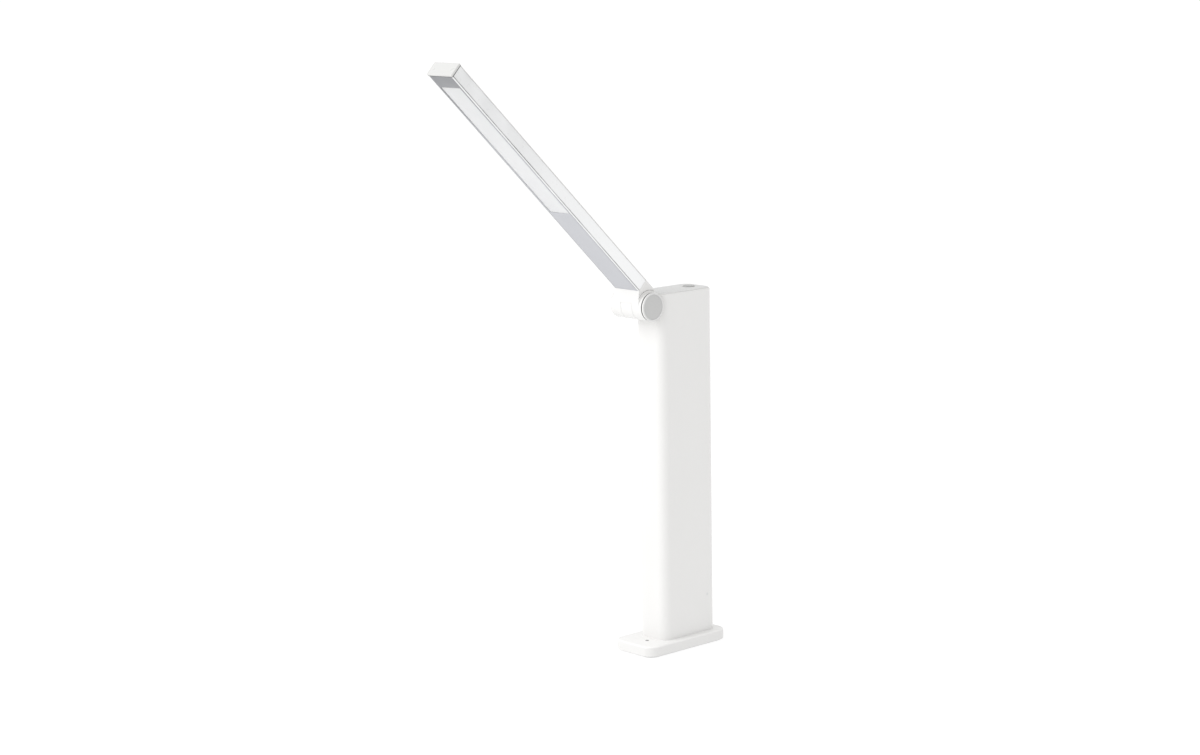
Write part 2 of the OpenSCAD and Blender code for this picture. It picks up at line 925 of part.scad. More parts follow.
module arm_knuckle() {
    relief_r = barrel_r + 1.2;
    relief_w = 0.5;
    relief_deep = 0.8;
    color("white")
        in_arm()
            difference() {
                union() {
                    arm_extrude(neck_w)
                        neck_outline();
                    bar_x(barrel_r, -cheek_out, cheek_out);
                    arm_bar(plug_w, neck_end - 1, arm_start + plug_len, plug_under, plug_over);
                }
                bar_x(barrel_r + side_gap, -cheek_in, cheek_in);
                bar_x(pin_r + turn_fit, -arm_w, arm_w);
                for (s = [-1, 1])
                    mirror([s < 0 ? 1 : 0, 0, 0]) {
                        bar_x(recess_r, recess_in, arm_w);
                        difference() {
                            bar_x(relief_r + relief_w, neck_w / 2 - relief_deep, arm_w);
                            bar_x(relief_r, 0, arm_w + 1);
                        }
                    }
                translate([-lead_x, 0, lead_n])
                    rotate([90, 0, 0])
                        cylinder(r = lead_hole_r, h = arm_start + plug_len + 1);
                for (s = [-1, 1])
                    translate([s * knuckle_screw_x, -knuckle_screw_s, plug_under - 1]) {
                        cylinder(r = small_screw_r + loose, h = arm_t);
                        cylinder(r = small_head_r + slip, h = knuckle_head_h + 1 + slip);
                    }
            }
}

module knuckle_screws() {
    color("silver")
        in_arm()
            for (s = [-1, 1])
                translate([s * knuckle_screw_x, -knuckle_screw_s, plug_under + slip])
                    screw(small_head_r, knuckle_head_h, small_screw_r,
                        web_over - 0.4 - plug_under - slip - knuckle_head_h);
}

module arm_channel() {
    color("gainsboro")
        in_arm()
            difference() {
                arm_bar(arm_w, arm_start, channel_end, arm_under, web_over);
                arm_bar(inside_w, arm_start - 1, channel_end + 1, arm_under + lip_t, web_under);
                arm_bar(arm_w - 2 * lip_w, arm_start - 1, channel_end + 1,
                    arm_under - 1, arm_under + lip_t + cut);
                side_seam();
                for (s = [-1, 1])
                    translate([s * knuckle_screw_x, -knuckle_screw_s, web_under - cut])
                        cylinder(r = small_screw_r + turn_fit, h = web_over - 0.3 - web_under);
            }
}

// Thin line along both sides of the channel, just above its lips
module side_seam() {
    difference() {
        arm_bar(arm_w + 2, arm_start - 1, channel_end + 1, seam_under, seam_under + lip_seam_h);
        arm_bar(arm_w - 2 * seam_inset, arm_start - 2, channel_end + 2, seam_under - 1, seam_under + 1);
    }
}

module arm_top_cover() {
    color("white")
        in_arm() {
            arm_bar(arm_w, arm_start, channel_end, web_over + seam_h, arm_over);
            arm_bar(arm_w - 2 * seam_inset, arm_start, channel_end, web_over, web_over + seam_h + cut);
        }
}

module arm_end_cap() {
    color("white")
        in_arm() {
            arm_bar(arm_w + 2 * cap_over, arm_len - end_cap_t, arm_len,
                arm_under - cap_over, arm_over + cap_over);
            arm_bar(plug_w, channel_end - 6, arm_len - end_cap_t + cut, plug_under, plug_over);
        }
}

module light_panel() {
    color("silver")
        in_arm()
            difference() {
                union() {
                    arm_bar(arm_w - 2 * lip_w - 2 * slip, arm_start, channel_end, arm_under, panel_over);
                    arm_bar(plug_w, arm_start, channel_end, arm_under + lip_t + slip, panel_over);
                }
                arm_bar(window_w, window_start, window_end, arm_under - 1, panel_over + 1);
            }
}

module diffuser() {
    mid = (window_start + window_end) / 2;
    color("whitesmoke")
        in_arm() {
            arm_bar(window_w - 2 * slip, window_start + slip, window_end - slip,
                arm_under + window_step, panel_over + cut);
            arm_bar(flange_w, mid - flange_len / 2, mid + flange_len / 2, panel_over, flange_over);
        }
}

module light_tray() {
    mid = (window_start + window_end) / 2;
    half = flange_len / 2;
    color("white")
        in_arm()
            difference() {
                arm_bar(flange_w, mid - half, mid + half, flange_over, web_under);
                arm_bar(flange_w - 2 * tray_wall, mid - half + tray_wall, mid + half - tray_wall,
                    flange_over - 1, web_under + 1);
                translate([-lead_end_x, -(mid - half) - 1, web_under - lead_r - slip])
                    rotate([-90, 0, 0])
                        cylinder(r = lead_hole_r, h = 4, center = true);
            }
}

module led_board() {
    mid = (window_start + window_end) / 2;
    color("whitesmoke")
        in_arm()
            arm_bar(led_board_w, mid - led_board_len / 2, mid + led_board_len / 2,
                web_under - led_board_t, web_under);
}

module leds() {
    mid = (window_start + window_end) / 2;
    pitch = led_board_len / led_count;
    top = web_under - led_board_t;
    color("khaki")
        in_arm()
            for (i = [0 : led_count - 1])
                translate([0, -(mid - led_board_len / 2 + pitch * (i + 0.5)), top - led_h])
                    translate([-led_w / 2, -led_l / 2, 0])
                        cube([led_w, led_l, led_h]);
}

// The lead leaves the hinge on its axis, inside the pin, so turning the arm doesn't pull it
module arm_lead() {
    mid = (window_start + window_end) / 2;
    rise = web_under - lead_r - slip;
    color("dimgray")
        in_arm()
            lead([[0, 0, 0], [-lead_x, 0, 0], [-lead_x, 0, lead_n],
                [-lead_x, -arm_start - plug_len - 4, lead_n],
                [-lead_end_x, -arm_start - plug_len - 30, rise],
                [-lead_end_x, -(mid - led_board_len / 2), rise]], lead_r);
}

module column_lead() {
    board_top = board_bottom + board_h;
    run_y = cell_y + cell_d / 2 + 4;
    color("dimgray")
        lead([[-port_r - board_t / 2, board_front + 4, board_top + slip], [0, run_y, board_top + 14],
            [0, run_y, axis_z - 8], [0, run_y - 6, axis_z], [0, axis_y + 2 * lead_r, axis_z]], lead_r);
}

base_shell();
ballast_plate();
base_cover();
foot_pad();
base_screws();
base_plug();
column_screws();
column_shell();
column_foot();
inner_frame();
battery_cells();
battery_tabs();
main_board();
board_components();
board_screws();
charge_port();
port_tongue();
charge_light();
top_cap();
power_button();
switch_plunger();
power_switch();
switch_board();
cap_screws();
hinge_bracket();
bracket_screws();
hinge_pin();
hinge_nut();
friction_washers();
hinge_trim_rings();
hinge_cap_right();
hinge_cap_left();
hinge_discs();
arm_knuckle();
knuckle_screws();
arm_channel();
arm_top_cover();
arm_end_cap();
light_panel();
diffuser();
light_tray();
led_board();
leds();
arm_lead();
column_lead();
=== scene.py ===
"""Cordless folding desk lamp: rounded pieces, finishes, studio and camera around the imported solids.

Metres throughout. +X runs along the hinge, +Y to the back of the base, +Z up.
"""

import json
import math

import bmesh
import bpy
from mathutils import Euler, Matrix, Vector

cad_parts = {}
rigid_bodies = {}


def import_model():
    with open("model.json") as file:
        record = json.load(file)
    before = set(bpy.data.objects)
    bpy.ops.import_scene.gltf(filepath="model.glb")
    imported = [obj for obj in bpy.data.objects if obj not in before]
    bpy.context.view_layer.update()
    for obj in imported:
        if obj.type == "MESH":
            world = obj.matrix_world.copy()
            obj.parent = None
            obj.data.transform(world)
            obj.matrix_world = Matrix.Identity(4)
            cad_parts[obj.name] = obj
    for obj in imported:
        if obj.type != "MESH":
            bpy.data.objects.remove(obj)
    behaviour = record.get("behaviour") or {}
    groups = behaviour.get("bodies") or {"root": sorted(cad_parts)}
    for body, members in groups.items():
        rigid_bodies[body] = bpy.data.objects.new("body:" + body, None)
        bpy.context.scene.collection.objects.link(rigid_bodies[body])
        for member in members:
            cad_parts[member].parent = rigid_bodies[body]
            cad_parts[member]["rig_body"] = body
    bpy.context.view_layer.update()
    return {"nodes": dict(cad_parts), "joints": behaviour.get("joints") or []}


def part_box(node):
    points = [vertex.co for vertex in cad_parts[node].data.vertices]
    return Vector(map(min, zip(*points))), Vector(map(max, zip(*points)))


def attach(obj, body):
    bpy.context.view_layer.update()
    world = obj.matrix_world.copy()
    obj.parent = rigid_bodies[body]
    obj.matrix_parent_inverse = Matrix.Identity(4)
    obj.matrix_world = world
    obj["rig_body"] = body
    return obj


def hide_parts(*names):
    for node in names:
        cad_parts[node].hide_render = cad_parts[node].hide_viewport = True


bl_info = {
    "name": "Folding desk lamp",
    "version": (1, 0, 0),
    "blender": (4, 5, 0),
    "location": "3D View > Sidebar > Lamp",
    "description": "Builds a cordless folding desk lamp from its packed solids",
    "category": "Add Mesh",
}

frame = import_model()
MM = 0.001
NODES = frame["nodes"]
SHARP = math.radians(32)  # edges that turn further stay sharp
FLAT = math.radians(0.2)  # faces that turn less are joined
MERGE = 0.002 * MM  # corners nearer than this are merged
TINY = 1e-9
WHITE = (1.0, 1.0, 1.0, 1.0)
BLACK = (0.0, 0.0, 0.0, 1.0)
LIP_TOP = 2.6 * MM  # top of the arm's lips above the hinge axis
# between LIP_TOP and SEAM_TOP the arm's coat carries a painted shadow band, wider than the real seam there
SEAM_TOP = 3.1 * MM  # top of the seams over them
# the panel's edge lines are painted shade where it meets the channel's walls
PANEL_INSET = 0.3 * MM  # the edge lines are measured from this far inside the panel's box
OUTLINE_STEPS = 24  # points in each corner of the column's outline
RIM_STEPS = 8  # points in the rounding of its top edge
TOP_OUTER_CORNER = 3  # number of the outer top corner in the section of its wall
DISH_STEPS = 16
FLOOR_SIZE = 80.0
FLOOR_DROP = 0.2 * MM  # keeps the floor clear of the foot pad


def node_size(node, axis):
    """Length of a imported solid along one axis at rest."""
    low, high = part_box(node)
    return high[axis] - low[axis]


def node_centre(node):
    low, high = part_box(node)
    return (low + high) / 2


HINGE_AXIS = Vector(next(j for j in frame["joints"] if j["name"] == "arm_fold")["pos_m"])


def number(name, description, default, **more):
    return bpy.props.FloatProperty(name=name, description=description, default=default, **more)


def length(name, description, default):
    return number(name, description, default, unit="LENGTH", precision=5, min=0.0)


def rotation(name, description, degrees):
    return number(name, description, math.radians(degrees), unit="ROTATION")


def whole(name, description, default):
    return bpy.props.IntProperty(name=name, description=description, default=default, min=1)


def colour(name, description, default):
    return bpy.props.FloatVectorProperty(
        name=name, description=description, default=default, subtype="COLOR", size=3, min=0.0, max=1.0
    )


class LampColumnSizes(bpy.types.PropertyGroup):
    width: length("Width", "Width of the column, along the hinge", node_size("column_shell", 0))
    depth: length("Depth", "Depth of the column, front to back", node_size("column_shell", 1))
    corner: length("Corner radius", "Radius of the column's upright corners", 7 * MM)
    wall: length("Wall", "Thickness of the column's wall", 1.6 * MM)
    rim: length("Rim rounding", "Rounding of the column's top edge", 1.0 * MM)
    web_width: length("Slot width", "Width of the slot that the hinge bracket comes through", 10.2 * MM)
    web_depth: length("Slot depth", "Depth of that slot below the column's top", 12.1 * MM)
    port_width: length("Socket width", "Width of the charging socket's hole", 3.4 * MM)
    port_height: length("Socket height", "Height of the charging socket's hole", 9.14 * MM)
    light_hole: length("Light hole", "Diameter of the hole for the charge light", 2 * MM)


class LampHingeSizes(bpy.types.PropertyGroup):
    angle: rotation("Arm angle", "Angle of the arm above level", 44)
    barrel_radius: length("Barrel radius", "Radius of the hinge barrel", 10 * MM)
    cheek: length("Cheek", "Distance from the middle of the hinge to the outside of a cheek", 14 * MM)
    ring_width: length("Ring width", "Width of the trim ring at each end", 0.9 * MM)
    groove: length("Groove", "Width of the groove between ring and disc", 0.9 * MM)
    disc_width: length("Disc width", "Thickness of the disc cap", 1.2 * MM)
    recess: length("Recess radius", "Radius of the recess in the cheek", 5.6 * MM)
    groove_depth: length("Groove depth", "Depth of that groove", 2 * MM)
    rim_rounding: length("Rim rounding", "Rounding of the cap's outer edge", 0.6 * MM)
    rim_width: length("Rim width", "Width of the rim round the disc's face", 1.2 * MM)
    face_drop: length("Face drop", "Depth of the disc's face below its rim", 0.2 * MM)
    face_thickness: length("Disc thickness", "Thickness of the disc in the cap's face", 0.6 * MM)


class LampButtonSizes(bpy.types.PropertyGroup):
    diameter: length("Diameter", "Diameter of the button", 8.4 * MM)
    dish: length("Dish", "Depth of the dish in the button", 0.35 * MM)
    rounding: length("Rounding", "Rounding of the button's edge", 0.3 * MM)
    stem_height: length("Stem height", "Height of the button's stem", 1.3 * MM)
    flange: length("Flange", "Thickness of the flange that holds the button", 1.1 * MM)


class LampArmSizes(bpy.types.PropertyGroup):
    end_cap: length("End cap", "Thickness of the arm's end cap", 1.6 * MM)
    # the seal of these sizes is a black frame of painted shadow in the end cap's joint
    joint_shade_gap: length("Seal gap", "Gap on each side of the seal in the end cap's joint", 0.02 * MM)
    joint_shade_drop: length("Seal drop", "Depth of that seal below the arm's faces", 0.1 * MM)
    joint_shade_width: length("Seal width", "Width of that seal's frame", 1.0 * MM)


class LampSmallSizes(bpy.types.PropertyGroup):
    thread_pitch: length("Thread pitch", "Pitch of the screws' threads", 0.5 * MM)
    thread_depth: length("Thread depth", "Depth of the screws' threads", 0.12 * MM)
    contacts: whole("Contacts", "Contacts on each side of the socket's tongue", 12)
    contact_pitch: length("Contact pitch", "Distance between two contacts", 0.5 * MM)
    contact_width: length("Contact width", "Width of a contact", 0.25 * MM)
    contact_length: length("Contact length", "Length of a contact", 3.2 * MM)


class LampLightSizes(bpy.types.PropertyGroup):
    count: whole("LEDs", "Number of LEDs under the diffuser", 20)
    package_width: length("Package width", "Width of an LED package", 3.5 * MM)
    package_length: length("Package length", "Length of an LED package", 2.8 * MM)
    package_height: length("Package height", "Height of an LED package", 0.8 * MM)
    window: length("Phosphor", "Width of the phosphor window in a package", 2.0 * MM)


class LampFinishes(bpy.types.PropertyGroup):
    white: colour("White", "Colour of the white mouldings", (0.79, 0.785, 0.775))
    arm: colour("Arm", "Colour of the coated channel of the arm", (0.92, 0.925, 0.93))
    end: colour("End cap", "Colour of the arm's end cap", (0.63, 0.63, 0.62))
    rim: colour("Rim", "Colour of the rim's face round each disc", (0.69, 0.69, 0.685))
    cap: colour("Cap", "Colour of the plate on the column's top", (0.68, 0.68, 0.675))
    button: colour("Button", "Colour of the button", (0.45, 0.45, 0.445))
    disc: colour("Disc", "Colour of the discs at the hinge", (0.54, 0.54, 0.535))
    panel: colour("Panel", "Colour of the panel under the arm", (0.505, 0.512, 0.54))
    diffuser: colour("Diffuser", "Colour of the diffuser", (0.73, 0.735, 0.74))
    rubber: colour("Rubber", "Colour of the pad under the base", (0.45, 0.45, 0.45))
    steel: colour("Steel", "Colour of screws, pin and socket", (0.62, 0.62, 0.62))


class LampStudio(bpy.types.PropertyGroup):
    sky: number("Sky", "Strength of the even light from all round", 0.90)
    key: number("Key", "Power of the large light at the front left", 12.4, unit="POWER")
    side: number("Side", "Power of the light at the right", 0.2, unit="POWER")
    floor_glow: number("Floor glow", "Light that the floor gives off", 0.80)
    floor: colour("Floor", "Colour of the floor", (0.25, 0.25, 0.25))
    camera_place: bpy.props.FloatVectorProperty(
        name="Camera", description="Place of the camera", default=(1.33474, -1.28899, 0.52382),
        subtype="TRANSLATION", unit="LENGTH",
    )
    camera_turn: rotation("Turn", "Camera's turn about the upright", 47.4846)
    camera_pitch: rotation("Pitch", "Camera's tilt below level", 10.0143)
    camera_roll: rotation("Roll", "Camera's roll", -0.9504)
    camera_lens: number("Lens", "Focal length in millimetres", 79.5171)


# Materials


class Nodes:
    """Short calls that add nodes to a tree."""

    def put(self, socket, value):
        if isinstance(value, bpy.types.NodeSocket):
            self.tree.links.new(value, socket)
        else:
            socket.default_value = value

    def add(self, kind, settings=None, **sockets):
        node = self.tree.nodes.new(kind)
        for key, value in (settings or {}).items():
            setattr(node, key, value)
        for key, value in sockets.items():
            self.put(node.inputs[key.replace("_", " ")], value)
        return node

    def math(self, operation, a, b=0.0):
        node = self.add("ShaderNodeMath", {"operation": operation})
        self.put(node.inputs[0], a)
        self.put(node.inputs[1], b)
        return node.outputs[0]


class Surface(Nodes):
    """A material with a Principled shader, on the piece's own coordinates."""

    def __init__(self, name, colour, roughness, **values):
        self.material = bpy.data.materials.new(name)
        self.material.use_nodes = True
        self.tree = self.material.node_tree
        self.shader = self.tree.nodes["Principled BSDF"]
        self.colour = (*colour, 1.0)
        self.shader.inputs["Base Color"].default_value = self.colour
        self.shader.inputs["Roughness"].default_value = roughness
        for key, value in values.items():
            self.shader.inputs[key.replace("_", " ")].default_value = value
        self.place = self.add("ShaderNodeTexCoord").outputs["Object"]
        self.normal = None

    def axis(self, letter):
        return self.add("ShaderNodeSeparateXYZ", Vector=self.place).outputs[letter]

    def aside(self):
        """Distance from the plane through the middle of the lamp."""
        return self.math("ABSOLUTE", self.axis("X"))

    def stretched(self, scale):
        return self.add("ShaderNodeMapping", Vector=self.place, Scale=scale).outputs["Vector"]

    def noise(self, scale, detail, place=None):
        node = self.add("ShaderNodeTexNoise", Vector=place or self.place, Scale=scale, Detail=detail)
        return node.outputs["Fac"]

    def spread(self, value, low, high, to_low, to_high):
        """Maps one range of a value onto another."""
        ends = {"From_Min": low, "From_Max": high, "To_Min": to_low, "To_Max": to_high}
        return self.add("ShaderNodeMapRange", Value=value, **ends).outputs["Result"]

    def within(self, value, low, high):
        """1 where a value lies between two limits, and 0 outside them."""
        above, below = self.math("GREATER_THAN", value, low), self.math("LESS_THAN", value, high)
        return self.math("MULTIPLY", above, below)

    def tint(self, factor, other):
        """Blends the base colour towards another one where the factor is high."""
        node = self.add("ShaderNodeMix", {"data_type": "RGBA"})
        self.put(node.inputs["Factor"], factor)
        base = self.shader.inputs["Base Color"]
        self.put(node.inputs["A"], base.links[0].from_socket if base.is_linked else self.colour)
        self.put(node.inputs["B"], (*other, 1.0))
        self.put(base, node.outputs["Result"])

    def patches(self, scale, detail, low, high, amount, factor):
        """Blends in a shade of the base colour, up to an amount, as a noise passes from low to high."""
        cover = self.spread(self.noise(scale, detail), low, high, 0.0, amount)
        self.tint(cover, scaled(self.colour[:3], factor))

    def uneven(self, scale, detail, low, high):
        """Lets the roughness wander between two values."""
        self.put(self.shader.inputs["Roughness"], self.spread(self.noise(scale, detail), 0.3, 0.7, low, high))

    def bump(self, height, distance, strength=1.0):
        node = self.add("ShaderNodeBump", Height=height, Distance=distance, Strength=strength)
        if self.normal:
            self.put(node.inputs["Normal"], self.normal)
        self.normal = node.outputs["Normal"]
        self.put(self.shader.inputs["Normal"], self.normal)

    def grain(self, scale, detail, depth):
        self.bump(self.noise(scale, detail), depth)


def scaled(colour, factor):
    return tuple(min(1.0, c * factor) for c in colour)


def satin_grain(s, low, high):
    """Fine spark-eroded grain with a slightly uneven gloss."""
    s.uneven(160.0, 4.0, low, high)
    s.grain(2600.0, 2.0, 0.006 * MM)


def matt_grain(s, low, high, depth):
    """Coarser erosion that scatters its highlights."""
    s.uneven(90.0, 3.0, low, high)
    s.grain(2300.0, 3.0, depth)


def moulded(name, colour, roughness=0.34):
    """Satin moulding with faint flow clouds."""
    s = Surface(name, colour, roughness, Coat_Weight=0.12, Coat_Roughness=0.22)
    s.patches(28.0, 2.0, 0.35, 0.7, 0.5, 0.975)
    satin_grain(s, roughness - 0.04, roughness + 0.05)


def soft_matt(name, colour, roughness, depth=0.012 * MM):
    """Finely eroded matt plastic."""
    s = Surface(name, colour, roughness)
    s.patches(3400.0, 1.0, 0.4, 0.65, 0.35, 0.93)
    matt_grain(s, roughness - 0.05, roughness + 0.06, depth)


def distance_from_axis(s, way):
    """Distance from the hinge axis of the point being coated, measured along a direction."""
    dot = s.add("ShaderNodeVectorMath", {"operation": "DOT_PRODUCT"})
    s.put(dot.inputs[0], s.place)
    s.put(dot.inputs[1], way)
    return s.math("SUBTRACT", dot.outputs["Value"], HINGE_AXIS.dot(way))


def along_arm(s, start, end):
    """0 to 1 along the arm at rest, between two distances from the hinge."""
    angle = bpy.context.scene.lamp_hinge.angle
    way = Vector((0.0, -math.cos(angle), math.sin(angle)))
    return s.spread(distance_from_axis(s, way), start, end, 0.0, 1.0)


def across_arm(s):
    """Height above the hinge axis, square to the arm at rest."""
    angle = bpy.context.scene.lamp_hinge.angle
    return distance_from_axis(s, Vector((0.0, math.sin(angle), math.cos(angle))))


def powder_coat(name, colour):
    """White coat of the channel, with painted shade: greyer towards the tip and on the lips, and a painted
    shadow band in the seams.
    """
    s = Surface(name, colour, 0.30, Coat_Weight=0.2, Coat_Roughness=0.18)
    # painted shade: the coat greys towards the tip, where less light reaches the arm's side
    s.tint(along_arm(s, 50 * MM, 240 * MM), scaled(colour, 0.76))
    height = across_arm(s)
    clear = 0.005 * MM
    # painted shade: the lips under LIP_TOP are tinted grey
    s.tint(s.spread(height, LIP_TOP - 0.05 * MM, LIP_TOP, 0.8, 0.0), scaled(colour, 0.80))
    # painted shadow: a near-black band over the seam above the lips
    s.tint(s.within(height, LIP_TOP + clear, SEAM_TOP - clear), scaled(colour, 0.10))
    s.patches(45.0, 2.0, 0.3, 0.75, 0.6, 0.98)
    s.uneven(420.0, 3.0, 0.26, 0.36)
    s.grain(620.0, 2.0, 0.010 * MM)
    s.grain(3800.0, 1.0, 0.004 * MM)


def panel_film(name, colour):
    """Satin grey film on the underside panel, with a painted darker reflection towards the tip and painted
    shade along both edges.
    """
    s = Surface(name, colour, 0.46)
    s.patches(3400.0, 1.0, 0.4, 0.65, 0.25, 0.94)
    # painted reflection: the panel darkens towards the tip, as it reflects a darker surround there
    s.tint(along_arm(s, 170 * MM, 235 * MM), scaled(colour, 0.48))
    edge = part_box("light_panel")[1].x - PANEL_INSET
    # painted shade: dark lines along both edges of the panel
    s.tint(s.spread(s.aside(), edge - 0.50 * MM, edge - 0.40 * MM, 0.0, 0.75), scaled(colour, 0.35))
    matt_grain(s, 0.42, 0.52, 0.008 * MM)


def milky(name, colour, scatter=0.6):
    """Frosted translucent white, with painted shade that makes it a little darker towards the arm's tip."""
    s = Surface(
        name, colour, 0.42, Subsurface_Weight=scatter, Subsurface_Scale=1.2 * MM,
        Subsurface_Radius=(1.0, 1.0, 1.05),
    )
    s.patches(60.0, 2.0, 0.3, 0.7, 0.5, 0.97)
    # painted shade: darker towards the arm's tip
    s.tint(along_arm(s, 140 * MM, 230 * MM), scaled(colour, 0.90))
    s.uneven(900.0, 2.0, 0.38, 0.48)
    s.grain(5200.0, 1.0, 0.006 * MM)


def plated_steel(name, colour, roughness=0.28):
    """Bright plate over turned or rolled metal."""
    s = Surface(name, colour, roughness, Metallic=1.0)
    drawn = s.noise(900.0, 2.0, s.stretched((1.0, 1.0, 12.0)))
    s.tint(s.spread(drawn, 0.35, 0.7, 0.0, 0.5), scaled(colour, 0.8))
    s.uneven(700.0, 3.0, roughness - 0.08, roughness + 0.1)
    s.bump(drawn, 0.006 * MM)


def rolled_plate(name, colour):
    """Bare rolled steel with scale and oil."""
    s = Surface(name, colour, 0.5, Metallic=0.85)
    s.patches(120.0, 6.0, 0.4, 0.7, 0.7, 0.45)
    s.uneven(300.0, 4.0, 0.38, 0.62)
    s.grain(800.0, 4.0, 0.02 * MM)


def pad_rubber(name, colour):
    """Soft rubber with a woven-cloth imprint that keeps it from sliding."""
    s = Surface(name, colour, 0.82)
    for way in ("X", "Y"):
        wave = s.add(
            "ShaderNodeTexWave", {"bands_direction": way}, Vector=s.place, Scale=700.0, Distortion=0.3
        )
        s.bump(wave.outputs["Fac"], 0.05 * MM, 0.6)
    s.patches(400.0, 4.0, 0.4, 0.8, 0.5, 0.8)


def shrink_sleeve(name, colour):
    """Thin glossy sleeve with fine lengthwise puckers."""
    s = Surface(name, colour, 0.25, Coat_Weight=0.5, Coat_Roughness=0.1)
    s.patches(200.0, 2.0, 0.3, 0.7, 0.6, 0.85)
    s.bump(s.noise(500.0, 3.0, s.stretched((1.0, 1.0, 0.05))), 0.03 * MM)


def solder_mask(name, colour, copper):
    """Circuit board: lacquer over tracks, which stand out as raised lanes in another tone."""
    s = Surface(name, colour, 0.32, Coat_Weight=0.4, Coat_Roughness=0.12)
    tracks = s.add(
        "ShaderNodeTexBrick", Vector=s.place, Scale=1.0, Color1=BLACK, Color2=BLACK, Mortar=WHITE,
        Mortar_Size=0.25 * MM, Brick_Width=4.1 * MM, Row_Height=2.3 * MM,
    )
    s.tint(tracks.outputs["Fac"], copper)
    s.bump(tracks.outputs["Fac"], 0.03 * MM)
    s.uneven(500.0, 2.0, 0.28, 0.40)


def epoxy(name, colour):
    """Black moulded epoxy with a mineral filler."""
    s = Surface(name, colour, 0.6)
    s.patches(2500.0, 2.0, 0.5, 0.8, 0.6, 2.2)
    s.grain(1800.0, 3.0, 0.02 * MM)


def phosphor(name, colour):
    """Yellow gel with its powder showing."""
    s = Surface(name, colour, 0.3, Subsurface_Weight=0.3, Subsurface_Scale=0.4 * MM)
    s.patches(6000.0, 2.0, 0.4, 0.7, 0.6, 0.8)
    s.grain(4000.0, 2.0, 0.01 * MM)


def rim_moulding(name, colour, face):
    """White cap of the hinge, with a greyer face round its disc."""
    s = Surface(name, colour, 0.36)
    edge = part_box("hinge_cap_right")[1].x
    s.tint(s.spread(s.aside(), edge - 0.35 * MM, edge - 0.15 * MM, 0.0, 1.0), face)
    satin_grain(s, 0.32, 0.41)


def plate_satin(name, colour, edge):
    """Grey plate on the column's top, with its sides tinted in the column's white as a painted highlight
    along its edge.
    """
    s = Surface(name, colour, 0.55)
    s.patches(3400.0, 1.0, 0.4, 0.65, 0.35, 0.95)
    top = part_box("top_cap")[1].z
    # painted highlight: below its top face the plate takes the lighter edge colour, in place of the shade at
    # its foot
    s.tint(s.spread(s.axis("Z"), top - 0.15 * MM, top - 0.05 * MM, 1.0, 0.0), edge)
    matt_grain(s, 0.50, 0.61, 0.008 * MM)


def base_moulding(name, colour):
    """Satin white of the base, with painted light: brighter on its top than round its sides."""
    # painted shade: the sides are a little darker than the base's white
    s = Surface(name, scaled(colour, 0.95), 0.34, Coat_Weight=0.12, Coat_Roughness=0.22)
    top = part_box("base_shell")[1].z
    # painted light: the top of the base is tinted brighter
    s.tint(s.spread(s.axis("Z"), top - 1.2 * MM, top - 0.2 * MM, 0.0, 1.0), scaled(colour, 1.10))
    satin_grain(s, 0.30, 0.39)


def make_finishes():
    """Makes every finish of the lamp, by name."""
    c = bpy.context.scene.lamp_finishes
    moulded("white_moulding", c.white)
    base_moulding("base_moulding", c.white)
    moulded("column_moulding", scaled(c.white, 0.985), 0.36)
    moulded("end_moulding", c.end, 0.30)
    rim_moulding("rim_moulding", c.white, c.rim)
    # near-black painted shadow for the hinge groove and the arm's end joint
    soft_matt("painted_shade_black", (0.03, 0.03, 0.03), 0.8)
    moulded("frame_moulding", (0.74, 0.74, 0.72), 0.5)
    powder_coat("arm_coat", c.arm)
    plate_satin("cap_matt", c.cap, c.white)
    soft_matt("button_matt", c.button, 0.5)
    soft_matt("disc_satin", c.disc, 0.40, 0.006 * MM)
    panel_film("panel_matt", c.panel)
    milky("diffuser_milky", c.diffuser)
    milky("light_pipe_milky", (0.70, 0.71, 0.70), 0.4)
    pad_rubber("pad_rubber", c.rubber)
    soft_matt("plug_rubber", scaled(c.rubber, 0.8), 0.7)
    plated_steel("plated_steel", c.steel)
    rolled_plate("rolled_plate", scaled(c.steel, 0.55))
    shrink_sleeve("cell_sleeve", (0.05, 0.32, 0.20))
    solder_mask("green_mask", (0.012, 0.11, 0.045), (0.03, 0.22, 0.09))
    solder_mask("white_mask", (0.80, 0.80, 0.78), (0.70, 0.70, 0.68))
    soft_matt("tray_white", (0.86, 0.86, 0.85), 0.5)
    epoxy("epoxy_black", (0.02, 0.02, 0.021))
    phosphor("phosphor_gel", (0.80, 0.62, 0.12))
    soft_matt("wire_jacket", (0.03, 0.03, 0.03), 0.45)
    plated_steel("gold_contact", (0.80, 0.58, 0.20), 0.22)


def finish_named(name):
    return bpy.data.materials[name]


# Meshes


def linked(name, data):
    """A new object in the scene's own collection."""
    item = bpy.data.objects.new(name, data)
    bpy.context.scene.collection.objects.link(item)
    return item


def mesh_of(name, bm):
    """Turns a bmesh into a mesh and frees it."""
    mesh = bpy.data.meshes.new(name)
    bm.to_mesh(mesh)
    bm.free()
    return mesh


def loose_object(name, bm):
    return linked(name, mesh_of(name, bm))


def smoothed(mesh):
    mesh.shade_smooth()
    mesh.set_sharp_from_angle(angle=SHARP)


def new_piece(name, bm, finish, body, nodes, smooth=True):
    return dress(name, mesh_of(name, bm), finish, body, nodes, smooth)


def dress(name, mesh, finish, body, nodes, smooth=True):
    """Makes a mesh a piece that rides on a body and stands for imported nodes."""
    mesh.name = name
    mesh.materials.clear()
    mesh.materials.append(finish_named(finish))
    if smooth:
        smoothed(mesh)
    piece = linked(name, mesh)
    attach(piece, body)
    if nodes:
        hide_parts(*nodes)
    return piece


def body_of_node(node):
    return NODES[node]["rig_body"]


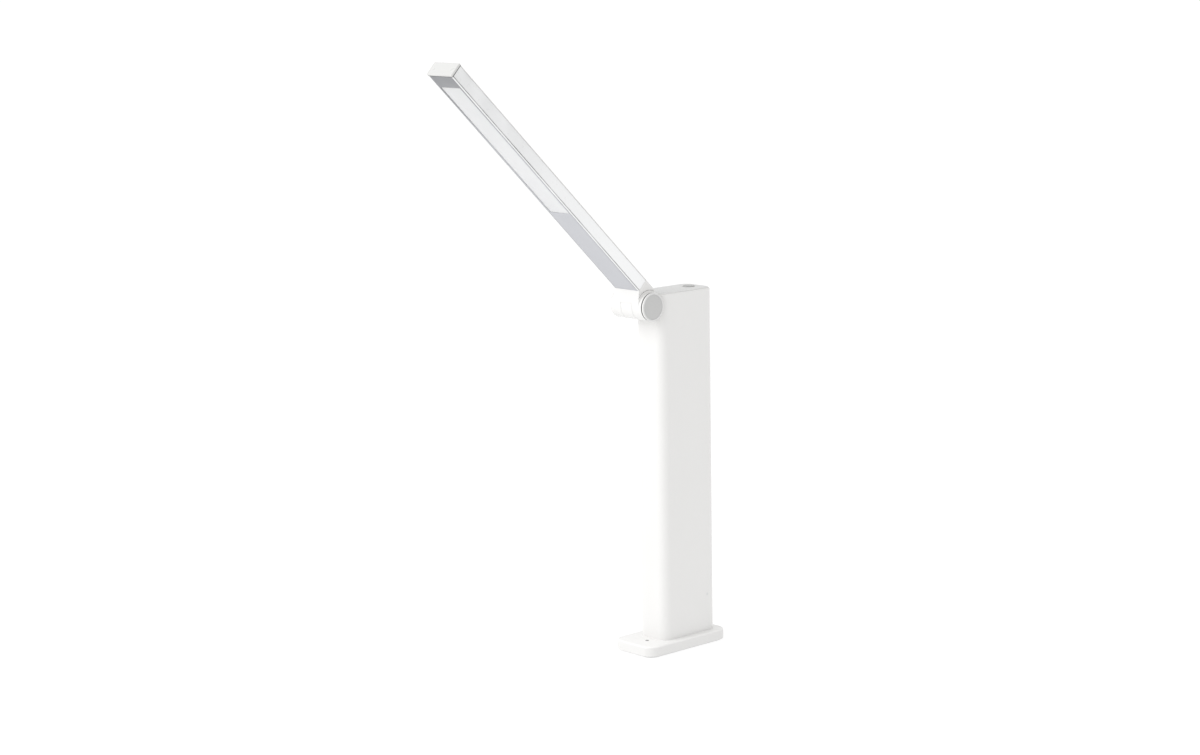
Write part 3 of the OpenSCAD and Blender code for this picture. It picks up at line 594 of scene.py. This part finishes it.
def merged_copy(node):
    """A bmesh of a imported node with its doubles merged."""
    bm = bmesh.new()
    bm.from_mesh(NODES[node].data)
    bmesh.ops.remove_doubles(bm, verts=bm.verts, dist=MERGE)
    return bm


def soft_copy(node, width, segments=3):
    """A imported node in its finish, with its flat faces joined and its sharp edges rounded."""
    bm = merged_copy(node)
    bmesh.ops.dissolve_limit(bm, angle_limit=FLAT, verts=bm.verts, edges=bm.edges)
    piece = new_piece(node + "_rounded", bm, FINISH_OF[node], body_of_node(node), [node])
    bevel = piece.modifiers.new("Rounded edges", "BEVEL")
    bevel.width = width
    bevel.segments = segments
    bevel.limit_method = "ANGLE"
    bevel.angle_limit = SHARP
    bevel.harden_normals = True


def lathe(profile, turn, steps=128, loop=False):
    """Turns a profile of (distance along X, radius) points about X, then puts the result in place.

    A point with no radius closes the end in a pole. A loop joins the last point to the first."""
    bm = bmesh.new()
    rings = []
    for along, radius in profile:
        count = 1 if radius < TINY else steps
        ring = []
        for i in range(count):
            a = 2 * math.pi * i / steps
            ring.append(bm.verts.new((along, radius * math.cos(a), radius * math.sin(a))))
        rings.append(ring)
    pairs = list(zip(rings, rings[1:]))
    if loop:
        pairs.append((rings[-1], rings[0]))
    for a, b in pairs:
        for i in range(steps):
            j = (i + 1) % steps
            corners = (a[i % len(a)], a[j % len(a)], b[j % len(b)], b[i % len(b)])
            bm.faces.new(tuple(dict.fromkeys(corners)))  # a pole counts once
    bmesh.ops.recalc_face_normals(bm, faces=bm.faces)
    bm.transform(turn)
    return bm


def joined(*parts):
    """One bmesh of several."""
    whole = bmesh.new()
    for part in parts:
        spare = mesh_of("spare", part)
        whole.from_mesh(spare)
        bpy.data.meshes.remove(spare)
    return whole


def arc(centre, radius, start, end, steps=6):
    """Points of an arc, with angles in degrees."""
    points = []
    for i in range(steps + 1):
        a = math.radians(start + (end - start) * i / steps)
        points.append((centre[0] + radius * math.cos(a), centre[1] + radius * math.sin(a)))
    return points


UPRIGHT = Matrix.Rotation(-math.pi / 2, 4, "Y")
AT_HINGE = Matrix.Translation(HINGE_AXIS)


def in_arm():
    """From the arm's own frame, -Y along the arm and +Z square to it, to the row frame."""
    return AT_HINGE @ Matrix.Rotation(-bpy.context.scene.lamp_hinge.angle, 4, "X")


def corners_of(points):
    """Low and high corner of the box round some points."""
    return [Vector(pick(p[i] for p in points) for i in range(3)) for pick in (min, max)]


def box_in(node, into):
    """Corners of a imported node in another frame."""
    back = into.inverted()
    return corners_of([back @ v.co for v in NODES[node].data.vertices])


def solid_boxes(node, into):
    """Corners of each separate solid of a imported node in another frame, in the order of its vertices."""
    bm = merged_copy(node)
    bm.transform(into.inverted())
    left = dict.fromkeys(bm.verts)  # keeps one order, where a set's changes from run to run
    boxes = []
    while left:
        start = next(iter(left))
        del left[start]
        group, edge = [], [start]
        while edge:
            v = edge.pop()
            group.append(v.co.copy())
            for e in v.link_edges:
                other = e.other_vert(v)
                if other in left:
                    del left[other]
                    edge.append(other)
        boxes.append(corners_of(group))
    bm.free()
    return boxes


def cut_away(piece, cutters):
    """Cuts closed meshes out of a piece and keeps the result as its plain mesh."""
    for cutter in cutters:
        modifier = piece.modifiers.new("Cut", "BOOLEAN")
        modifier.operation = "DIFFERENCE"
        modifier.solver = "EXACT"
        modifier.object = cutter
    graph = bpy.context.evaluated_depsgraph_get()
    mesh = bpy.data.meshes.new_from_object(piece.evaluated_get(graph))
    piece.modifiers.clear()
    piece.data = mesh
    for cutter in cutters:
        bpy.data.objects.remove(cutter)


def box_cutter(low, high):
    bm = bmesh.new()
    bmesh.ops.create_cube(bm, size=1.0)
    low, high = Vector(low), Vector(high)
    for v in bm.verts:
        v.co = (low + high) / 2 + Vector(a * b for a, b in zip(v.co, high - low))
    return loose_object("cutter", bm)


def round_cutter(centre, radius, depth, axis, stretch=None):
    """A cylinder along an axis, drawn out into a slot along Z where stretch is given."""
    bm = bmesh.new()
    bmesh.ops.create_cone(bm, cap_ends=True, segments=64, radius1=radius, radius2=radius, depth=depth)
    turn = Matrix.Rotation(math.pi / 2, 4, "Y" if axis == "X" else "X")
    bmesh.ops.transform(bm, matrix=turn, verts=bm.verts)
    if stretch:
        for v in bm.verts:
            v.co.z += math.copysign(stretch / 2, v.co.z) if abs(v.co.z) > TINY else 0.0
    bmesh.ops.translate(bm, vec=centre, verts=bm.verts)
    return loose_object("cutter", bm)


# Geometry Nodes


class NodeTree(Nodes):
    """A Geometry Nodes tree under construction."""

    def __init__(self, name):
        self.tree = bpy.data.node_groups.new(name, "GeometryNodeTree")
        self.tree.interface.new_socket("Geometry", in_out="OUTPUT", socket_type="NodeSocketGeometry")
        self.start = self.tree.nodes.new("NodeGroupInput")
        self.end = self.tree.nodes.new("NodeGroupOutput")

    def input(self, name, kind, default=None):
        socket = self.tree.interface.new_socket(name, in_out="INPUT", socket_type=kind)
        if default is not None:
            socket.default_value = default
        return self.start.outputs[name]

    def vector(self, x=0.0, y=0.0, z=0.0):
        return self.add("ShaderNodeCombineXYZ", X=x, Y=y, Z=z).outputs[0]

    def finish(self, geometry):
        material = self.input("Material", "NodeSocketMaterial")
        real = self.add("GeometryNodeRealizeInstances", Geometry=geometry)
        painted = self.add("GeometryNodeSetMaterial", Geometry=real.outputs[0], Material=material)
        self.tree.links.new(painted.outputs[0], self.end.inputs[0])
        return self.tree


def grown(name, tree, finish, **values):
    """The plain mesh that a tree makes with this finish and these values."""
    values["Material"] = finish_named(finish)
    holder = linked(name, bpy.data.meshes.new(name))
    modifier = holder.modifiers.new("Pattern", "NODES")
    modifier.node_group = tree
    for item in tree.interface.items_tree:
        if item.in_out == "INPUT" and item.name in values:
            modifier[item.identifier] = values[item.name]
    graph = bpy.context.evaluated_depsgraph_get()
    mesh = bpy.data.meshes.new_from_object(holder.evaluated_get(graph))
    bpy.data.objects.remove(holder)
    return mesh


def tube_tree():
    """Upright tube on a rounded rectangle: its wall's section, with one corner rounded, swept round it."""
    t = NodeTree("Rounded tube")
    sizes = {
        "Width": 28 * MM, "Depth": 52 * MM, "Corner": 7 * MM, "Wall": 1.6 * MM, "Height": 250 * MM, "Rim": MM,
    }
    width, depth, corner, wall, tall, rim = (
        t.input(name, "NodeSocketFloat", size) for name, size in sizes.items()
    )
    outline = t.add("GeometryNodeCurvePrimitiveQuadrilateral", Width=width, Height=depth)
    rounded = {"mode": "POLY"}
    outline = t.add(
        "GeometryNodeFilletCurve", rounded, Curve=outline.outputs[0], Radius=corner, Count=OUTLINE_STEPS
    )
    section = t.add("GeometryNodeCurvePrimitiveQuadrilateral", Width=wall, Height=tall)
    outer_top = t.add("FunctionNodeCompare", {"data_type": "INT", "operation": "EQUAL"})
    t.put(outer_top.inputs[2], t.add("GeometryNodeInputIndex").outputs[0])
    t.put(outer_top.inputs[3], TOP_OUTER_CORNER)
    rounding = t.math("MULTIPLY", outer_top.outputs[0], rim)
    section = t.add(
        "GeometryNodeFilletCurve", rounded, Curve=section.outputs[0], Radius=rounding, Count=RIM_STEPS
    )
    inwards = t.vector(x=t.math("MULTIPLY", wall, -0.5), y=t.math("MULTIPLY", tall, -0.5))
    moved = t.add("GeometryNodeSetPosition", Geometry=section.outputs[0], Offset=inwards)
    swept = t.add("GeometryNodeCurveToMesh", Curve=outline.outputs[0], Profile_Curve=moved.outputs[0])
    return t.finish(swept.outputs[0])


def row_tree():
    """Equal blocks in a row, each with its middle at a step of the pitch."""
    t = NodeTree("Row of blocks")
    count = t.input("Count", "NodeSocketInt", 8)
    pitch = t.input("Pitch", "NodeSocketFloat", 6 * MM)
    size = t.input("Size", "NodeSocketVector")
    half = t.math("MULTIPLY", t.math("SUBTRACT", count, 1), t.math("MULTIPLY", pitch, -0.5))
    start, step = t.vector(y=half), t.vector(y=pitch)
    line = t.add("GeometryNodeMeshLine", Count=count, Start_Location=start, Offset=step)
    block = t.add("GeometryNodeMeshCube", Size=size)
    placed = t.add("GeometryNodeInstanceOnPoints", Points=line.outputs[0], Instance=block.outputs[0])
    return t.finish(placed.outputs[0])


def placed_tree():
    """Copies of one piece on the points of a mesh, each turned the same way."""
    t = NodeTree("Pieces in their places")
    places = t.input("Places", "NodeSocketObject")
    piece = t.input("Piece", "NodeSocketObject")
    turn = t.input("Turn", "NodeSocketVector")
    where, what = (
        t.add("GeometryNodeObjectInfo", Object=source).outputs["Geometry"] for source in (places, piece)
    )
    put = t.add("GeometryNodeInstanceOnPoints", Points=where, Instance=what, Rotation=turn)
    return t.finish(put.outputs[0])


# Operators


class LAMP_OT_finishes(bpy.types.Operator):
    """Makes the lamp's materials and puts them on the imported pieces"""

    bl_idname = "lamp.finishes"
    bl_label = "Finishes"

    def execute(self, context):
        make_finishes()
        for node, finish in FINISH_OF.items():
            for place in NODES[node].material_slots:
                place.material = finish_named(finish)
            smoothed(NODES[node].data)
        return {"FINISHED"}


NODE_FINISHES = {
    "white_moulding": ["hinge_trim_rings", "arm_top_cover"],
    "base_moulding": ["base_shell"],
    "column_moulding": ["column_shell", "arm_knuckle", "hinge_bracket"],
    "rim_moulding": ["hinge_cap_right", "hinge_cap_left"],
    "end_moulding": ["arm_end_cap"],
    "frame_moulding": ["base_cover", "column_foot", "inner_frame"],
    "arm_coat": ["arm_channel"],
    "cap_matt": ["top_cap"],
    "button_matt": ["power_button"],
    "disc_satin": ["hinge_discs"],
    "panel_matt": ["light_panel"],
    "diffuser_milky": ["diffuser"],
    "light_pipe_milky": ["charge_light"],
    "pad_rubber": ["foot_pad"],
    "plug_rubber": ["base_plug"],
    "plated_steel": [
        "base_screws", "column_screws", "battery_tabs", "board_screws", "charge_port", "cap_screws",
        "bracket_screws", "hinge_pin", "hinge_nut", "friction_washers", "knuckle_screws",
    ],
    "rolled_plate": ["ballast_plate"],
    "cell_sleeve": ["battery_cells"],
    "green_mask": ["main_board", "switch_board"],
    "white_mask": ["led_board"],
    "tray_white": ["light_tray"],
    "epoxy_black": ["board_components", "port_tongue", "switch_plunger", "power_switch"],
    "phosphor_gel": ["leds"],
    "wire_jacket": ["arm_lead", "column_lead"],
}
FINISH_OF = {node: finish for finish, nodes in NODE_FINISHES.items() for node in nodes}


class LAMP_OT_base(bpy.types.Operator):
    """Makes the base's shell, pad and plug"""

    bl_idname = "lamp.base"
    bl_label = "Base"

    def execute(self, context):
        soft_copy("base_shell", 0.12 * MM)
        soft_copy("foot_pad", 0.2 * MM)
        soft_copy("base_plug", 0.1 * MM)
        return {"FINISHED"}


class LAMP_OT_column(bpy.types.Operator):
    """Sweeps the column's shell and cuts its slot, socket and light hole"""

    bl_idname = "lamp.column"
    bl_label = "Column"

    def execute(self, context):
        s = context.scene.lamp_column
        low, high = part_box("column_shell")
        mesh = grown(
            "column_shell_rounded", tube_tree(), "column_moulding", Width=s.width, Depth=s.depth,
            Corner=s.corner, Wall=s.wall, Height=high.z - low.z, Rim=s.rim,
        )
        centre = Vector(((low.x + high.x) / 2, (low.y + high.y) / 2, low.z))
        mesh.transform(Matrix.Translation(centre))
        nodes = ["column_shell"]
        piece = dress("column_shell_rounded", mesh, "column_moulding", "stand", nodes)
        port, light = node_centre("charge_port"), node_centre("charge_light")
        reach = 6 * MM
        cut_away(piece, [
            box_cutter(
                (-s.web_width / 2, low.y - MM, high.z - s.web_depth),
                (s.web_width / 2, low.y + s.wall + MM, high.z + MM),
            ),
            round_cutter((0, high.y, port.z), s.port_width / 2, reach, "Y", s.port_height - s.port_width),
            round_cutter((high.x, light.y, light.z), s.light_hole / 2, reach, "X"),
        ])
        smoothed(piece.data)
        return {"FINISHED"}


class LAMP_OT_top(bpy.types.Operator):
    """Makes the plate on the column's top and the button in it"""

    bl_idname = "lamp.top"
    bl_label = "Top plate and button"

    def execute(self, context):
        s = context.scene.lamp_button
        soft_copy("top_cap", 0.08 * MM)
        low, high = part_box("power_button")
        middle = (low + high) / 2
        profile = self.button(s, low.z, high.z, (high.x - low.x) / 2)
        turned = lathe(profile, Matrix.Translation((middle.x, middle.y, 0.0)) @ UPRIGHT)
        new_piece("power_button_turned", turned, "button_matt", "button", ["power_button"])
        return {"FINISHED"}

    def button(self, s, low, top, flange):
        """Section of the button: stem, flange that holds it in the plate, and dished face."""
        radius, r, stem = s.diameter / 2, s.rounding, 2 * MM
        shoulder = low + s.stem_height
        dish = [
            (top - s.dish * (1 - (i / DISH_STEPS) ** 2), (radius - r) * i / DISH_STEPS)
            for i in range(DISH_STEPS - 1, 0, -1)
        ]
        return [
            (low, 0.0),
            (low, stem),
            (shoulder, stem),
            (shoulder, flange),
            (shoulder + s.flange, flange),
            (shoulder + s.flange, radius),
            *arc((top - r, radius - r), r, 90, 0),
            *dish,
            (top - s.dish, 0.0),
        ]


class LAMP_OT_hinge(bpy.types.Operator):
    """Makes the hinge's bracket, neck, rings and discs"""

    bl_idname = "lamp.hinge"
    bl_label = "Hinge"

    def execute(self, context):
        s = context.scene.lamp_hinge
        soft_copy("hinge_bracket", 0.05 * MM, 2)
        soft_copy("arm_knuckle", 0.05 * MM, 2)
        rings = joined(*self.ends(self.ring(s), True))
        new_piece("trim_rings_turned", rings, "white_moulding", "arm", ["hinge_trim_rings"])
        faces = joined(*self.ends(self.face(s), False))
        new_piece("disc_faces", faces, "disc_satin", "arm", ["hinge_discs"])
        # the ring in the right groove is black, as painted shadow; the one on the left stays white
        right, left = self.ends(self.seal(s), True)
        new_piece("groove_seal_right", right, "painted_shade_black", "arm", [])
        new_piece("groove_seal_left", left, "column_moulding", "arm", [])
        right, left = self.ends(self.cap(s), False)
        new_piece("cap_right_turned", right, "rim_moulding", "arm", ["hinge_cap_right"])
        new_piece("cap_left_turned", left, "rim_moulding", "arm", ["hinge_cap_left"])
        return {"FINISHED"}

    def ends(self, profile, loop):
        """A profile turned at the hinge's right end, and its mirror image at the left end."""
        right = lathe(profile, AT_HINGE, loop=loop)
        left = lathe(profile, AT_HINGE @ Matrix.Scale(-1, 4, (1, 0, 0)), loop=loop)
        bmesh.ops.recalc_face_normals(left, faces=left.faces)
        return right, left

    def ring(self, s):
        """Section of the trim ring on the right."""
        inner, outer, r = s.cheek, s.cheek + s.ring_width, 0.15 * MM
        return [
            (inner, s.recess),
            (inner, s.barrel_radius),
            *arc((outer - r, s.barrel_radius - r), r, 90, 0),
            (outer, s.recess),
        ]

    def seal(self, s):
        """Section of the ring at the bottom of the groove on the right; in black it is painted shadow in the
        groove.
        """
        hub = s.cheek + s.ring_width
        low = s.barrel_radius - s.groove_depth
        sunk, gap = 0.08 * MM, 0.02 * MM
        high = s.barrel_radius - sunk
        start, end = hub + gap, hub + s.groove - gap
        return [(start, low), (start, high), (end, high), (end, low)]

    def cap(self, s):
        """Section of the cap on the right, with its hollow spigot and the seat of its disc."""
        hub = s.cheek + s.ring_width
        back = hub + s.groove
        edge = back + s.disc_width
        seat = edge - s.face_drop - s.face_thickness
        big, r, lip = s.barrel_radius, s.rim_rounding, 0.15 * MM
        inner = big - s.rim_width
        spigot = s.recess - 0.05 * MM
        return [
            (hub, 0.0),
            (hub, spigot - MM),
            (s.cheek - 2 * MM, spigot - MM),
            (s.cheek - 2 * MM, spigot),
            (hub, spigot),
            (hub, big - s.groove_depth),
            (back, big - s.groove_depth),
            *arc((back + lip, big - lip), lip, 180, 90, 4),
            *arc((edge - r, big - r), r, 90, 0),
            *arc((edge - lip, inner + lip), lip, 0, -90, 4),
            (seat, inner),
            (seat, 0.0),
        ]

    def face(self, s):
        """Section of the grey disc on the right, slightly crowned."""
        edge = s.cheek + s.ring_width + s.groove + s.disc_width - s.face_drop
        radius, r = s.barrel_radius - s.rim_width - 0.05 * MM, 0.1 * MM
        return [
            (edge - s.face_thickness, 0.0),
            (edge - s.face_thickness, radius),
            *arc((edge - r, radius - r), r, 90, 0, 4),
            (edge, 0.0),
        ]


class LAMP_OT_arm(bpy.types.Operator):
    """Makes the arm's channel, covers and underside panel"""

    bl_idname = "lamp.arm"
    bl_label = "Arm"

    def execute(self, context):
        soft_copy("arm_channel", 0.18 * MM)
        soft_copy("arm_top_cover", 0.15 * MM)
        soft_copy("arm_end_cap", 0.35 * MM, 4)
        soft_copy("light_panel", 0.06 * MM)
        # black frame of painted shadow in the end cap's joint
        self.end_seal(context.scene.lamp_arm)
        return {"FINISHED"}

    def end_seal(self, s):
        """Black frame of painted shadow in the joint between the channel and its end cap, a little below
        their faces.
        """
        place = in_arm()
        channel_low, channel_high = box_in("arm_channel", place)
        cover_high = box_in("arm_top_cover", place)[1]
        cap_low = box_in("arm_end_cap", place)[0]
        start = channel_low.y - s.joint_shade_gap
        end = cap_low.y + s.end_cap + s.joint_shade_gap
        outer = (channel_high.x - s.joint_shade_drop, channel_low.z + s.joint_shade_drop, cover_high.z - s.joint_shade_drop)
        bm = bmesh.new()
        loops = []
        for inset in (0.0, s.joint_shade_width):
            x, low, high = outer[0] - inset, outer[1] + inset, outer[2] - inset
            corners = ((-x, low), (x, low), (x, high), (-x, high))
            loops.append([[bm.verts.new((a, y, b)) for a, b in corners] for y in (start, end)])
        (outer_a, outer_b), (inner_a, inner_b) = loops
        for ring, other in ((outer_a, outer_b), (inner_b, inner_a), (outer_b, inner_b), (inner_a, outer_a)):
            for i in range(4):
                j = (i + 1) % 4
                bm.faces.new((ring[i], ring[j], other[j], other[i]))
        bmesh.ops.recalc_face_normals(bm, faces=bm.faces)
        bm.transform(place)
        new_piece("end_seal", bm, "painted_shade_black", "arm", [], smooth=False)


class LAMP_OT_light(bpy.types.Operator):
    """Makes the diffuser and the LEDs behind it"""

    bl_idname = "lamp.light"
    bl_label = "Light"

    def execute(self, context):
        s = context.scene.lamp_light
        soft_copy("diffuser", 0.12 * MM)
        place = in_arm()
        low, high = box_in("led_board", place)
        middle = (low + high) / 2
        pitch = (high.y - low.y) / s.count
        rows = (
            (
                "led_packages", s.package_width, s.package_length, s.package_height, 0.0,
                "tray_white", ["leds"],
            ),
            ("led_phosphor", s.window, s.window, 0.1 * MM, s.package_height, "phosphor_gel", []),
        )
        tree = row_tree()
        for name, wide, long, tall, down, finish, nodes in rows:
            mesh = grown(name, tree, finish, Count=s.count, Pitch=pitch, Size=(wide, long, tall))
            mesh.transform(Matrix.Translation((middle.x, middle.y, low.z - down - tall / 2)))
            mesh.transform(place)
            dress(name, mesh, finish, "arm", nodes, smooth=False)
        return {"FINISHED"}


class LAMP_OT_screws(bpy.types.Operator):
    """Turns one screw for each group and puts it in its places"""

    bl_idname = "lamp.screws"
    bl_label = "Screws"

    def execute(self, context):
        s = context.scene.lamp_small
        tree = placed_tree()
        for node, (head, head_height, shank, turn) in SCREWS.items():
            into = in_arm() if body_of_node(node) == "arm" else Matrix.Identity(4)
            into = into @ turn.to_matrix().to_4x4()
            boxes = solid_boxes(node, into)
            tall = boxes[0][1].z - boxes[0][0].z
            screw = self.screw(s, head, head_height, shank, tall)
            places = bmesh.new()
            for low, high in boxes:
                places.verts.new(((low.x + high.x) / 2, (low.y + high.y) / 2, low.z))
            spots = loose_object("spots", places)
            name = node + "_turned"
            mesh = grown(name, tree, "plated_steel", Places=spots, Piece=screw, Turn=(0.0, 0.0, 0.0))
            mesh.transform(into)
            bpy.data.objects.remove(spots)
            bpy.data.objects.remove(screw)
            dress(name, mesh, "plated_steel", body_of_node(node), [node])
        return {"FINISHED"}

    def screw(self, s, head, head_height, shank, tall):
        """A screw that stands on its head, with a rounded head, a hexagon socket and rings for its thread."""
        r = 0.15 * MM
        edge = arc((r, head - r), r, 180, 90, 4)
        profile = [(0.0, 0.0), *edge, (head_height, head), (head_height, shank)]
        plain = 0.6 * MM  # length of the shank that carries no thread
        rings = int((tall - head_height - plain) / s.thread_pitch)
        for i in range(rings):
            at = head_height + (i + 0.5) * s.thread_pitch
            profile += [(at, shank), (at + s.thread_pitch / 2, shank - s.thread_depth)]
        profile += [(tall - 0.3 * MM, shank - s.thread_depth), (tall, shank - 0.4 * MM), (tall, 0.0)]
        piece = loose_object("screw", lathe(profile, UPRIGHT, steps=32))
        bm = bmesh.new()
        wide = head * 0.5
        bmesh.ops.create_cone(bm, cap_ends=True, segments=6, radius1=wide, radius2=wide, depth=head_height)
        cut_away(piece, [loose_object("cutter", bm)])
        return piece


STANDING = Euler()
SCREWS = {  # radius and height of the head, radius of the shank, and the screw's turn
    "base_screws": (2.2 * MM, 0.8 * MM, 1.0 * MM, STANDING),
    "column_screws": (2.8 * MM, 1.8 * MM, 1.5 * MM, STANDING),
    "cap_screws": (1.9 * MM, 1.0 * MM, 1.0 * MM, STANDING),
    "bracket_screws": (2.2 * MM, 1.0 * MM, 1.25 * MM, Euler((-math.pi / 2, 0.0, 0.0))),
    "board_screws": (1.9 * MM, 1.0 * MM, 1.0 * MM, Euler((0.0, -math.pi / 2, 0.0))),
    "knuckle_screws": (2.2 * MM, 1.2 * MM, 1.0 * MM, STANDING),
}


class LAMP_OT_socket(bpy.types.Operator):
    """Lays the gold contacts on the charging socket's tongue"""

    bl_idname = "lamp.socket"
    bl_label = "Socket contacts"

    def execute(self, context):
        s = context.scene.lamp_small
        low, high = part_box("port_tongue")
        tree = row_tree()
        lay = Matrix.Rotation(math.pi / 2, 4, "X")
        sides = []
        for side in (-1, 1):
            size = (0.04 * MM, s.contact_width, s.contact_length)
            mesh = grown("contacts", tree, "gold_contact", Count=s.contacts, Pitch=s.contact_pitch, Size=size)
            x = high.x if side > 0 else low.x
            y = high.y - s.contact_length / 2 - 0.4 * MM
            middle = Vector((x + side * 0.02 * MM, y, (low.z + high.z) / 2))
            mesh.transform(Matrix.Translation(middle) @ lay)
            bm = bmesh.new()
            bm.from_mesh(mesh)
            sides.append(bm)
            bpy.data.meshes.remove(mesh)
        new_piece("port_contacts", joined(*sides), "gold_contact", "stand", [], smooth=False)
        return {"FINISHED"}


class LAMP_OT_studio(bpy.types.Operator):
    """Lays the floor and sets the lights and the camera"""

    bl_idname = "lamp.studio"
    bl_label = "Studio"

    def execute(self, context):
        s = context.scene.lamp_studio
        self.floor(s)
        self.sky(context.scene, s)
        self.area("Key light", s.key, place=(-0.45, -1.35, 1.0), target=(0.0, 0.0, 0.22), size=1.3)
        self.area("Side light", s.side, place=(1.5, 0.35, 0.75), target=(0.0, 0.0, 0.25), size=0.9)
        self.camera(context.scene, s)
        return {"FINISHED"}

    def floor(self, s):
        bm = bmesh.new()
        bmesh.ops.create_grid(bm, x_segments=1, y_segments=1, size=FLOOR_SIZE)
        floor = loose_object("studio_floor", bm)
        floor.location.z = -FLOOR_DROP
        glow = {"Emission_Color": WHITE, "Emission_Strength": s.floor_glow}
        paint = Surface("studio_floor", s.floor, 0.8, Specular_IOR_Level=0.1, **glow)
        floor.data.materials.append(paint.material)

    def sky(self, scene, s):
        world = bpy.data.worlds.new("Studio")
        world.use_nodes = True
        back = world.node_tree.nodes["Background"]
        back.inputs["Color"].default_value = WHITE
        back.inputs["Strength"].default_value = s.sky
        scene.world = world
        scene.view_settings.view_transform = "Standard"
        scene.view_settings.look = "None"

    def area(self, name, power, place, target, size):
        light = bpy.data.lights.new(name, "AREA")
        light.energy = power
        light.shape = "SQUARE"
        light.size = size
        lamp = linked(name, light)
        lamp.location = place
        lamp.rotation_euler = (Vector(target) - Vector(place)).to_track_quat("-Z", "Y").to_euler()

    def camera(self, scene, s):
        data = bpy.data.cameras.new("Camera")
        data.sensor_fit = "HORIZONTAL"
        data.sensor_width = 36.0
        data.lens = s.camera_lens
        data.clip_end = 100.0
        camera = linked("Camera", data)
        turn, pitch, roll = s.camera_turn, s.camera_pitch, s.camera_roll
        flat = math.cos(pitch)
        ahead = Vector((-math.sin(turn) * flat, math.cos(turn) * flat, -math.sin(pitch)))
        level = Vector((math.cos(turn), math.sin(turn), 0.0))
        rise = level.cross(ahead)
        right = level * math.cos(roll) + rise * math.sin(roll)
        above = rise * math.cos(roll) - level * math.sin(roll)
        axes = Matrix((right, above, -ahead)).transposed().to_4x4()
        camera.matrix_world = Matrix.Translation(s.camera_place) @ axes
        scene.camera = camera


class LAMP_PT_panel(bpy.types.Panel):
    """Lists the lamp's operators and sizes"""

    bl_label = "Folding desk lamp"
    bl_idname = "LAMP_PT_panel"
    bl_space_type = "VIEW_3D"
    bl_region_type = "UI"
    bl_category = "Lamp"

    def draw(self, context):
        for operator in OPERATORS:
            self.layout.operator(operator.bl_idname)
        for attribute in GROUPS:
            group = getattr(context.scene, attribute)
            box = self.layout.box()
            for key in group.bl_rna.properties.keys():
                if key not in ("rna_type", "name"):
                    box.prop(group, key)


OPERATORS = (
    LAMP_OT_finishes, LAMP_OT_base, LAMP_OT_column, LAMP_OT_top, LAMP_OT_hinge, LAMP_OT_arm,
    LAMP_OT_light, LAMP_OT_screws, LAMP_OT_socket, LAMP_OT_studio,
)
GROUPS = {
    "lamp_column": LampColumnSizes,
    "lamp_hinge": LampHingeSizes,
    "lamp_button": LampButtonSizes,
    "lamp_arm": LampArmSizes,
    "lamp_small": LampSmallSizes,
    "lamp_light": LampLightSizes,
    "lamp_finishes": LampFinishes,
    "lamp_studio": LampStudio,
}


def register():
    for attribute, group in GROUPS.items():
        bpy.utils.register_class(group)
        setattr(bpy.types.Scene, attribute, bpy.props.PointerProperty(type=group))
    for item in (*OPERATORS, LAMP_PT_panel):
        bpy.utils.register_class(item)


def unregister():
    for item in (LAMP_PT_panel, *reversed(OPERATORS)):
        bpy.utils.unregister_class(item)
    for attribute, group in reversed(GROUPS.items()):
        delattr(bpy.types.Scene, attribute)
        bpy.utils.unregister_class(group)


def main():
    register()
    for operator in OPERATORS:
        category, name = operator.bl_idname.split(".")
        getattr(getattr(bpy.ops, category), name)()


if __name__ == "__main__":
    main()
